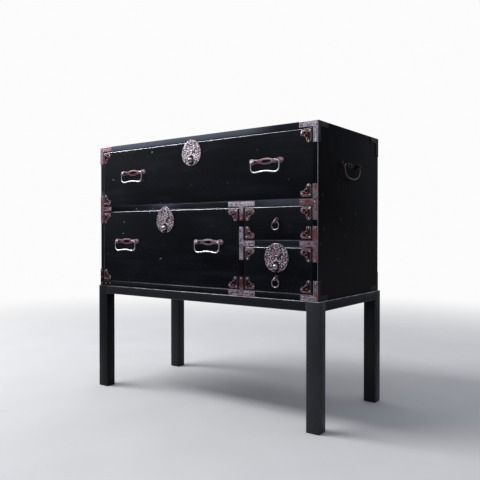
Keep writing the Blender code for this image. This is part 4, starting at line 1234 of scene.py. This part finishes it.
# %% [markdown]
# The lock plates are the show pieces: thick iron chiselled with curling vines. The plate grows
# from one circle whose rim is extruded inwards ring by ring, which gives an even mesh that
# can be pushed up and down. The vines are a formula, a spiral about each of nine centres,
# mirrored left and right, so the carving is real shape and its height is also kept for the
# finish. A plain rim with a groove, the hollow round the knob, a slanting keyhole and six small
# holes are pressed into the same height. The finish paints the hollow round the knob and the
# small holes black as shade, which stands in for the knob's shadow and the dark of the holes.

# %% Carving of the lock plates
around, rings = 224, 46
plate_base, carving = 0.0012, 0.0013
knob_above_foot, slot_half, slot_rise = 0.018, 0.0025, 0.0095
key_place, key_along = (0.0135, 0.006), (0.66, 0.75)
small_holes = ((0.0168, 0.0296), (0.0336, 0.001), (0.0245, -0.0265))
rim_span, groove_at, groove_soft = (0.0012, 0.0022), 0.0027, 0.0005
knob_hollow, hollow_longer, key_longer = (0.0085, 0.0110), 0.0065, 0.0065
key_hollow, key_lip, hole_edge = (0.0030, 0.0048), (0.0028, 0.0045), (0.0018, 0.0027)


def egg(width, height, taper):
    return lambda a: (width / 2 * (1 - taper * math.cos(a)) * math.sin(a), height / 2 * math.cos(a))


def peach(radius, tip, shoulder):
    def edge(a):
        turn = abs((a + math.pi) % math.tau - math.pi) / math.pi
        reach = radius + tip * max(0, 1 - turn / shoulder) ** 2
        return reach * math.sin(a), reach * math.cos(a)
    return edge


plate_edges = {"upper": egg(0.080, 0.0835, 0.07), "wide": peach(0.0397, 0.0116, 0.36),
               "deep": egg(0.0835, 0.0845, 0)}
middle_above_foot = {"upper": 0.0430, "wide": 0.0422, "deep": 0.0446}
curl_centres = [(0.000, 0.0310, 0.0080, 1), (0.0135, 0.0200, 0.0100, 1), (0.0290, 0.0110, 0.0090, -1),
                (0.0170, 0.0350, 0.0070, -1), (0.0285, -0.0075, 0.0090, 1), (0.0120, -0.0005, 0.0090, -1),
                (0.0210, -0.0235, 0.0095, -1), (0.0065, -0.0360, 0.0070, 1), (0.0000, 0.0110, 0.0070, 1)]


def vine_height(u, v):
    """Share of the carving's height at a point, from 0 in the hollows to 1 on the vines.

    A centre has its place across and up, its radius and the way in which it curls."""
    across = abs(u)
    centre_u, centre_v, radius, way = min(
        curl_centres, key=lambda centre: math.hypot(across - centre[0], v - centre[1]) / centre[2])
    reach = math.hypot(across - centre_u, v - centre_v) / radius
    angle = math.atan2(v - centre_v, across - centre_u)
    ridge = 0.5 + 0.5 * math.cos(math.tau * (1.15 * reach - way * angle / math.tau))
    leaf = 0.5 + 0.5 * math.cos(5 * angle + 9 * reach * way)
    blend = min(1, max(0, (reach - 0.75) / 0.35))
    return ((1 - blend) * ridge + blend * max(ridge, leaf) * 0.9) ** 0.8


def smooth_step(value, low, high):
    share = min(1, max(0, (value - low) / (high - low)))
    return share * share * (3 - 2 * share)


def carved_height(u, v, inward, knob_v):
    """Share of the height with the rim, its groove, the knob's hollow, the keyhole and the holes."""
    height = 0.12 + 0.88 * vine_height(u, v)
    rim = 1 - smooth_step(inward, *rim_span)
    groove = math.exp(-((inward - groove_at) / groove_soft) ** 2)
    height = (height * (1 - rim) + (0.50 + 0.38 * height) * rim) * (1 - 0.55 * groove)
    knob_reach = math.hypot(u, max(0, abs(v - knob_v) - hollow_longer))
    # Round the knob the height falls to where the finish paints it black as shade, standing in for the knob's
    # shadow.
    raised = smooth_step(knob_reach, *knob_hollow)
    height = height * raised + 0.03 * (1 - raised)
    off_u, off_v = u - key_place[0], v - key_place[1]
    along = key_along[0] * off_u + key_along[1] * off_v
    aside = key_along[0] * off_v - key_along[1] * off_u
    key = math.hypot(max(0, abs(along) - key_longer), aside)
    height = max(height * smooth_step(key, *key_hollow), 0.75 * (1 - smooth_step(key, *key_lip)))
    # In the small holes the height falls to where the finish paints it black as shade.
    for hole_u, hole_v in small_holes:
        height *= smooth_step(math.hypot(abs(u) - hole_u, v - hole_v), *hole_edge)
    return height


print("spirals in a carving", sum(2 if centre[0] else 1 for centre in curl_centres))

# %% [markdown]
# The plate is a disc of rings, which its outline stretches and the carving pushes up. Its back
# is closed, and the knob's slot and the keyhole are cut through it. Behind it sits the lock's
# case, a plain box with a way for the bolt and one for the knob's stem.

# %% Lock plates
def ringed_disc():
    """Flat disc of even rings, grown inwards from its rim."""
    bm = bmesh.new()
    bmesh.ops.create_circle(bm, radius=1, segments=around)
    ring, share = list(bm.edges), 1.0
    for index in range(1, rings):
        made = bmesh.ops.extrude_edge_only(bm, edges=ring)
        ring, smaller = edges_of(made), 1 - index / rings
        bmesh.ops.scale(bm, verts=verts_of(made), vec=(smaller / share, smaller / share, 1))
        share = smaller
    bmesh.ops.edgeloop_fill(bm, edges=ring)
    return bm


def relief_plate(name):
    """Closed plate about its own middle, carved on its face."""
    bm = ringed_disc()
    layer = bm.verts.layers.float.new("relief")
    for vert in bm.verts:
        share = vert.co.length
        edge_u, edge_v = plate_edges[name](math.atan2(vert.co.x, vert.co.y))
        u, v = share * edge_u, share * edge_v
        inward = (1 - share) * math.hypot(edge_u, edge_v)
        height = carved_height(u, v, inward, knob_above_foot - middle_above_foot[name])
        edge_drop = 0.0006 * (1 - smooth_step(inward, 0.0, 0.0012))
        vert[layer] = height
        vert.co = (u, edge_drop - plate_base - carving * height, v)
    outer = [edge for edge in bm.edges if edge.is_boundary]
    made = bmesh.ops.extrude_edge_only(bm, edges=outer)
    for vert in verts_of(made):
        vert.co.y = 0
        vert[layer] = 0.5
    bmesh.ops.edgeloop_fill(bm, edges=edges_of(made))
    bmesh.ops.recalc_face_normals(bm, faces=bm.faces)
    return bm


def knob_slot(x, z, start, end):
    """Cutter for the slot in which the knob's stem rises, between two depths."""
    return slab((x - slot_half, start, z - slot_half), (x + slot_half, end, z + slot_rise))


def slot_and_keyhole(name):
    """Cutter for the knob's slot and the slanting keyhole."""
    slot = knob_slot(0, knob_above_foot - middle_above_foot[name], -0.006, 0.002)
    key = slab((-0.0023, -0.006, -0.0090), (0.0023, 0.002, 0.0090))
    key = placed(key, Matrix.Translation((key_place[0], 0, key_place[1]))
                 @ Matrix.Rotation(math.radians(40), 4, "Y"))
    return joined([slot, key])


for name, node in lock_nodes.items():
    low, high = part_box(node)
    x = middle_of(f"{name}_lock_bolt").x
    plate = carve(relief_plate(name), slot_and_keyhole(name))
    plate = moved(plate, (x, front - fit, low.z + middle_above_foot[name]))
    shown(f"{name}_lock_relief", plate, lock_finishes[name], f"{name}_drawer", [node],
          angle=60)
    case_low = low.z + case_above_foot
    case_top = case_low + case_height
    case = slab((x - case_half, front - fit, case_low), (x + case_half, high.y, case_top))
    case = carve(case, bolt_way(name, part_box(f"{name}_lock_bolt")[0].z + overlap, case_top + overlap))
    case = carve(case, knob_slot(x, low.z + knob_above_foot, front - 0.002, front + 0.008))
    shown(f"{name}_lock_case", case, shaded_side_iron, f"{name}_drawer")
    print(name, "lock plate", round(high.x - low.x, 4), "wide, faces", around * rings)

# %% [markdown]
# The polished knob low on each plate draws the bolt. It is a dome on a short stem, so it is
# turned: half a section is spun about its axis.

# %% Bolts and knobs
def spun(profile, steps, place):
    """Section of radius and depth, turned about an axis along Y."""
    bm = bmesh.new()
    verts = [bm.verts.new((radius, depth, 0)) for radius, depth in profile]
    edges = [bm.edges.new(pair) for pair in zip(verts, verts[1:])]
    bmesh.ops.spin(bm, geom=verts + edges, cent=(0, 0, 0), axis=(0, 1, 0), angle=math.tau, steps=steps,
                   use_merge=True)
    bmesh.ops.remove_doubles(bm, verts=bm.verts, dist=1e-5)
    bmesh.ops.recalc_face_normals(bm, faces=bm.faces)
    return moved(bm, place)


knob_radius, stem_radius, knob_base = 0.0095, 0.0020, front - 0.0036
knob_edge, stem_end = 0.00099, front + 0.0075
bolt_half, bolt_near, bolt_far = 0.007, front + 0.0058, front + 0.0098
for name, node in lock_nodes.items():
    low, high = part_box(f"{name}_lock_bolt")
    x = (low.x + high.x) / 2
    shoulder = knob_base - knob_edge
    turns = [math.pi / 2 * step / 12 for step in range(12)]
    curve = [(knob_radius * math.cos(a), shoulder - (shoulder - low.y) * math.sin(a)) for a in turns]
    profile = [(0, stem_end), (stem_radius, stem_end), (stem_radius, knob_base), (0.0086, knob_base),
               (knob_radius, knob_base - 0.0006)] + curve + [(0, low.y)]
    knob = spun(profile, 36, (x, 0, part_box(node)[0].z + knob_above_foot))
    bar = slab((x - bolt_half, bolt_near, low.z), (x + bolt_half, bolt_far, high.z))
    shown(f"{name}_bolt_and_knob", joined([knob, rounded(bar, every_edge, 0.0006, 2)]), knob_iron,
          f"{name}_bolt", [f"{name}_lock_bolt"])
print("knobs stand", round(front - low.y, 4), "m proud")

# %% [markdown]
# The handles of the drawers and those of the sides are of one kind: a plate with an oval middle
# and two oval lobes, two posts with bored eyes, and a bail with its pins in the eyes. The post is
# a drawn outline pushed out to its width, and a bail is half a path, mirrored.

# %% Handle shapes
def oval_arc(centre, size, start, end, steps):
    turns = [start + (end - start) * step / steps for step in range(steps + 1)]
    return [(centre + size[0] / 2 * math.cos(a), size[1] / 2 * math.sin(a)) for a in turns]


def plate_outline(length, middle, neck, end):
    """Oval middle, two necks and an oval lobe at each end."""
    upper = oval_arc(0, middle, math.pi / 2, math.asin(neck / middle[1]), 12)
    upper += oval_arc((length - end[0]) / 2, end, math.pi - math.asin(neck / end[1]), 0, 14)
    right = upper + [(u, -v) for u, v in reversed(upper[:-1])]
    return right + [(-u, v) for u, v in reversed(right)][1:-1]


def eye_post(height, radius, bore, width):
    """Post with a round nose and a bored eye, the bore along X through the origin."""
    nose = arc_points((0, 0), radius, math.pi * 3 / 2, math.pi / 2, 14)
    outline = nose + [(height, radius), (height, -radius)]
    bm = bmesh.new()
    face = bm.faces.new([bm.verts.new((-width / 2, u, v)) for u, v in outline])
    bm = extruded(bm, [face], (width, 0, 0))
    bm = rounded(bm, lambda edge: abs(edge.verts[0].co.x - edge.verts[1].co.x) < 1e-6, 0.0008, 2)
    cutter = bmesh.new()
    bmesh.ops.create_cone(cutter, cap_ends=True, segments=20, radius1=bore, radius2=bore, depth=4 * width,
                          matrix=facing_side)
    return carve(bm, cutter)


def pin_path(spacing, width, bend):
    """Half a bail's path from inside the post to the bend outside it."""
    start = -(spacing / 2 - width / 2 - 0.001)
    centre = -(spacing / 2 + width / 2 + 0.0005)
    return [(start, 0)] + arc_points((centre, -bend), bend, math.pi / 2, math.pi, 8)


def both_halves(half):
    return half + [(-u, v) for u, v in reversed(half) if u < -1e-9]


def flat_path(points):
    return [(u, 0, v) for u, v in points]


drawer_plate = {"length": 0.122, "middle": (0.054, 0.0195), "neck": 0.012, "end": (0.022, 0.0165)}
carry_plate = {"length": 0.125, "middle": (0.026, 0.018), "neck": 0.011, "end": (0.024, 0.019)}
rivet_x = 0.0535
print("handle plates", drawer_plate["length"], "and", carry_plate["length"], "m long")

# %% [markdown]
# A drawer handle's plate is pierced by an oval with a collar round it. The bail is forged: thin
# at its pins, thick where fingers close on it, with a grip bowed upwards. It is a row of circles
# bridged along its path, the radius growing towards the grip. Inside the drawer the tails of
# the posts are spread flat, which is what holds them.

# %% Drawer handles
post_spacing, post_width, standoff, wire, pin = 0.078, 0.006, 0.0095, 0.0025, 0.0021
bail_drop, bail_corner, bail_bend, grip_bow = 0.033, 0.0135, 0.0078, 0.0032
pierced, collar_size = (0.0345, 0.0086), (0.0420, 0.0150)
drawer_plate_thick, collar_face, collar_back = 0.0018, 0.0024, 0.0010
tail_half, tail_thick, tail_length, tail_depth = 0.0022, 0.0009, 0.014, front + 0.01805


def bail_bar():
    half = pin_path(post_spacing, post_width, bail_bend)
    centre = (half[-1][0] + bail_corner, bail_corner - bail_drop)
    half += arc_points(centre, bail_corner, math.pi, math.pi * 3 / 2, 10)
    grip = -half[-1][0]
    half += [(-grip * (1 - step / 12), grip_bow * smooth_step(step / 12, 0, 0.9) - bail_drop)
             for step in range(1, 13)]
    points = both_halves(half)
    radii = []
    for u, v in points:
        thin = smooth_step(-v, 0.0, 0.007)
        thick = smooth_step(-v, 0.018, 0.031) * (1 - 0.25 * smooth_step(abs(u), 0, grip))
        radii.append(pin - 0.0007 * thin + 0.0012 * thick)
    return tube(flat_path(points), radii, 14)


def pierced_by_oval(bm, seat):
    return carve(bm, oval_prism(*pierced, seat - 0.006, seat + 0.002, 32))


def drawer_handle_plate():
    """Plate with posts and its collar, the origin on the bail's axis and the back at the drawer."""
    seat = standoff - fit
    outline = plate_outline(**drawer_plate)
    plate = pierced_by_oval(moved(sheet_iron(outline, drawer_plate_thick, 0.0006, 0), (0, seat, 0)), seat)
    collar = oval_prism(*collar_size, seat - collar_face, seat - collar_back, 40)
    collar = pierced_by_oval(rounded(collar, at_depth(seat - collar_face), 0.0006, 2), seat)
    parts = [plate]
    for side in (-1, 1):
        post = eye_post(seat - drawer_plate_thick / 2, radius=0.0043, bore=pin + 0.0004, width=post_width)
        parts.append(moved(post, (side * post_spacing / 2, 0, 0)))
        parts.append(dome((side * rivet_x, seat - drawer_plate_thick, 0), 0.0038, 0.0009, sides=18))
    return joined(parts), collar


def inside_tails(pivot):
    """The tails of a handle's posts, spread flat inside the drawer."""
    tails = []
    for side in (-1, 1):
        place = (pivot.x + side * post_spacing / 2, tail_depth, pivot.z)
        for turn in (0, math.pi):
            tail = thin_board((-tail_half, 0, 0), (tail_half, tail_thick, tail_length), 0.0003)
            tails.append(placed(tail, Matrix.Translation(place) @ Matrix.Rotation(turn, 4, "Y")))
    return tails


collar_finishes = {"left": collar_iron, "right": collar_pale}
for drawer in ("upper", "wide"):
    tails = []
    for side, collar_finish in collar_finishes.items():
        node = f"{drawer}_{side}_handle"
        low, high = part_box(f"{node}_bail")
        pivot = Vector(((low.x + high.x) / 2, front - standoff, high.z - wire))
        plate, collar = drawer_handle_plate()
        shown(f"{node}_back_plate", moved(plate, pivot), plate_iron, f"{drawer}_drawer",
              [f"{node}_plate"], angle=40)
        shown(f"{node}_collar", moved(collar, pivot), collar_finish, f"{drawer}_drawer",
              angle=40)
        shown(f"{node}_grip", moved(bail_bar(), pivot), bail_iron, f"{drawer}_{side}_bail",
              [f"{node}_bail"], angle=60)
        tails += inside_tails(pivot)
    shown(f"{drawer}_post_tails", joined(tails), shaded_side_iron, f"{drawer}_drawer")
print("drawer bails", round((high.x - low.x) * 1000, 1), "mm wide")

# %% [markdown]
# The carrying handles on the sides are plainer and heavier, because two people lift the full
# chest by them. They are made as the drawer handles are and turned to face the side, and their
# iron is painted dark as shade.

# %% Carrying handles
carry_spacing, carry_width, carry_standoff = 0.080, 0.007, 0.0085
carry_wire, carry_drop, carry_bend, carry_thick = 0.003, 0.0425, 0.009, 0.0020


def carrying_bail():
    half = pin_path(carry_spacing, carry_width, carry_bend)
    leg, start = -half[-1][0], -half[-1][1]
    bow = carry_drop - start
    turns = [math.pi / 2 * step / 22 for step in range(1, 22)]
    half += [(-leg * math.cos(a) ** 0.85, -start - bow * math.sin(a) ** 0.85) for a in turns]
    points = both_halves(half + [(0, -carry_drop)])
    radii = []
    for u, v in points:
        thin, thick = smooth_step(-v, 0.0, 0.009), max(0, (-v - start) / bow) ** 2
        radii.append(carry_wire - 0.0010 * thin + 0.0007 * thick)
    return tube(flat_path(points), radii, 14)


def carrying_plate():
    seat = carry_standoff - fit
    plate = sheet_iron(plate_outline(**carry_plate), carry_thick, rim=0.0006, line=0.0022)
    parts = [moved(plate, (0, seat, 0))]
    for side in (-1, 1):
        post = eye_post(seat - carry_thick / 2, radius=0.006, bore=0.0035, width=carry_width)
        parts.append(moved(post, (side * carry_spacing / 2, 0, 0)))
        parts.append(dome((side * rivet_x, seat - carry_thick, 0), 0.0042, 0.0014, sides=16))
    parts.append(dome((0, seat - carry_thick, 0), 0.0052, 0.0016, sides=18))
    return joined(parts)


for name, side in (("left", -1), ("right", 1)):
    low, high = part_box(f"side_{name}_handle_bail")
    pivot = Vector((side * (half_width + carry_standoff), (low.y + high.y) / 2, high.z - carry_wire))
    place = turned_to_side(pivot, side)
    shown(f"side_{name}_back_plate", placed(carrying_plate(), place), shaded_side_iron, "chest",
          [f"side_{name}_handle_plate"], angle=40)
    shown(f"side_{name}_grip", placed(carrying_bail(), place), shaded_carry_iron, f"side_{name}_bail",
          [f"side_{name}_handle_bail"], angle=60)
print("carrying handles at height", round(pivot.z, 3))

# %% [markdown]
# The two small drawers have ring pulls. The ring is a circle of wire spun round its own middle and
# hangs from an eye over a round base with petals.

# %% Ring pulls
ring_radius, ring_wire, ring_standoff, ring_sag = 0.0121, 0.0018, 0.0075, 0.0024
base_radius, base_thick, petals, base_raised = 0.0078, 0.0014, 12, 0.0035


def wire_ring():
    """Ring that hangs from the origin."""
    bm = bmesh.new()
    bmesh.ops.create_circle(bm, radius=ring_wire, segments=14, matrix=facing_side)
    bmesh.ops.spin(bm, geom=list(bm.verts) + list(bm.edges), cent=(0, 0, -ring_radius), axis=(0, 1, 0),
                   angle=math.tau, steps=56, use_merge=True)
    bmesh.ops.recalc_face_normals(bm, faces=bm.faces)
    return bm


def petal_base():
    """Round base with a scalloped edge, raised towards its middle."""
    bm = bmesh.new()
    bmesh.ops.create_circle(bm, cap_ends=True, radius=base_radius, segments=petals * 6, matrix=facing_front)
    for vert in bm.verts:
        angle = math.atan2(vert.co.z, vert.co.x)
        vert.co *= 1 - 0.07 * (0.5 - 0.5 * math.cos(petals * angle))
    bm = extruded(bm, list(bm.faces), (0, -base_thick, 0))
    bm.normal_update()
    top = min(bm.faces, key=lambda face: face.calc_center_median().y)
    for width, rise in ((0.0006, 0.0003), (0.0022, 0.0005)):
        bmesh.ops.inset_region(bm, faces=[top], thickness=width, depth=rise)
    return bm


for name in ("small", "deep"):
    low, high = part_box(f"{name}_ring")
    pivot = Vector(((low.x + high.x) / 2, front - ring_standoff, high.z - ring_sag))
    ring_seat = ring_standoff - fit
    post = eye_post(ring_seat - 0.0008, radius=0.0056, bore=0.0032, width=0.006)
    base = moved(petal_base(), (0, ring_seat, base_raised))
    shown(f"{name}_ring_post", moved(joined([post, base]), pivot), post_iron, f"{name}_drawer",
          [f"{name}_ring_eye"], angle=40)
    shown(f"{name}_pull_ring", moved(wire_ring(), pivot), ring_iron, f"{name}_pull_ring",
          [f"{name}_ring"], angle=60)
print("ring pulls", round(high.x - low.x, 4), "m across")

# %% [markdown]
# A few chips show the pale ground under the lacquer, and the right side has faint scuffs up to
# a fingertip wide. Each is a ragged disc, thin as paper, on the surface. Their places are seen
# in the photograph: a line of sight through the pixel is followed to the face that it meets.

# %% Chips in the lacquer
def bared(name, dark, pale):
    """Ground that the lacquer has come off."""
    finish = Finish(name, 0.8, specular=0.1)
    finish.colour(finish.mixed(finish.mask(finish.noise(700.0, 3), 0.40, 0.60), dark, pale))
    return finish.material


chip_ground = bared("chip_ground", (0.30, 0.29, 0.28), (0.66, 0.64, 0.62))
dull_ground = bared("dull_ground", (0.050, 0.050, 0.052), (0.24, 0.235, 0.23))
scuff_ground = bared("scuff_ground", (0.010, 0.010, 0.011), (0.050, 0.049, 0.048))
photo_width, chip_radius, chip_thick = 480, 0.0022, 0.00012
focal = camera_data.lens / camera_data.sensor_width * photo_width
to_front, to_right = Vector((0, -1, 0)), Vector((1, 0, 0))
chips = [("upper_drawer", to_front, chip_ground, [(152.0, 152.3, 1.0), (158.5, 145.0, 0.4)]),
         ("upper_drawer", to_front, dull_ground,
          [(131.5, 158.2, 0.5), (206.5, 150.0, 0.5), (112.9, 179.8, 1.1), (114.5, 180.2, 0.8),
           (227.7, 183.0, 0.6), (147.0, 156.5, 0.5)]),
         ("wide_drawer", to_front, dull_ground,
          [(123.2, 233.5, 1.0), (152.6, 262.0, 0.4), (212.0, 226.0, 0.5)]),
         ("chest", to_front, chip_ground,
          [(136.6, 208.9, 0.8), (152.9, 208.8, 0.6), (170.6, 212.6, 0.6), (144.0, 144.9, 0.5),
           (188.0, 209.9, 0.4)]),
         ("chest", to_right, scuff_ground,
          [(322.5, 195.0, 1.9), (355.5, 214.0, 2.2), (340.5, 219.5, 2.3), (324.0, 229.0, 2.3),
           (320.5, 244.0, 1.8), (346.0, 236.0, 1.6), (357.0, 218.5, 1.5), (372.0, 208.0, 1.2)])]


def met_by_sight(pixel_x, pixel_y, point, normal):
    """Where the line of sight through a pixel meets a plane."""
    across = Vector((math.cos(azimuth), math.sin(azimuth), 0))
    aside, down = (pixel_x - photo_width / 2) / focal, (pixel_y - photo_width / 2) / focal
    ray = sight + across * aside - across.cross(sight) * down
    return camera.location + ray * ((point - camera.location).dot(normal) / ray.dot(normal))


def chip(place, radius, normal, number):
    """Disc with a ragged edge, its back just inside the surface."""
    bm = bmesh.new()
    bmesh.ops.create_circle(bm, cap_ends=True, radius=radius, segments=9)
    for index, vert in enumerate(bm.verts):
        vert.co *= 1 + 0.35 * math.sin(2.3 * index * number + number)
    bm = extruded(bm, list(bm.faces), (0, 0, chip_thick))
    turn = normal.to_track_quat("Z", "Y").to_matrix().to_4x4()
    return placed(bm, Matrix.Translation(place - normal * 0.00005) @ turn)


for number, (body, normal, ground, spots) in enumerate(chips):
    corner = Vector((half_width, front, 0))
    patches = [chip(met_by_sight(x, y, corner, normal), chip_radius * size, normal, index)
               for index, (x, y, size) in enumerate(spots, 1)]
    shown(f"chips_{number}_on_{body}", joined(patches), ground, body)
print("chips", sum(len(spots) for *_, spots in chips))

# %% [markdown]
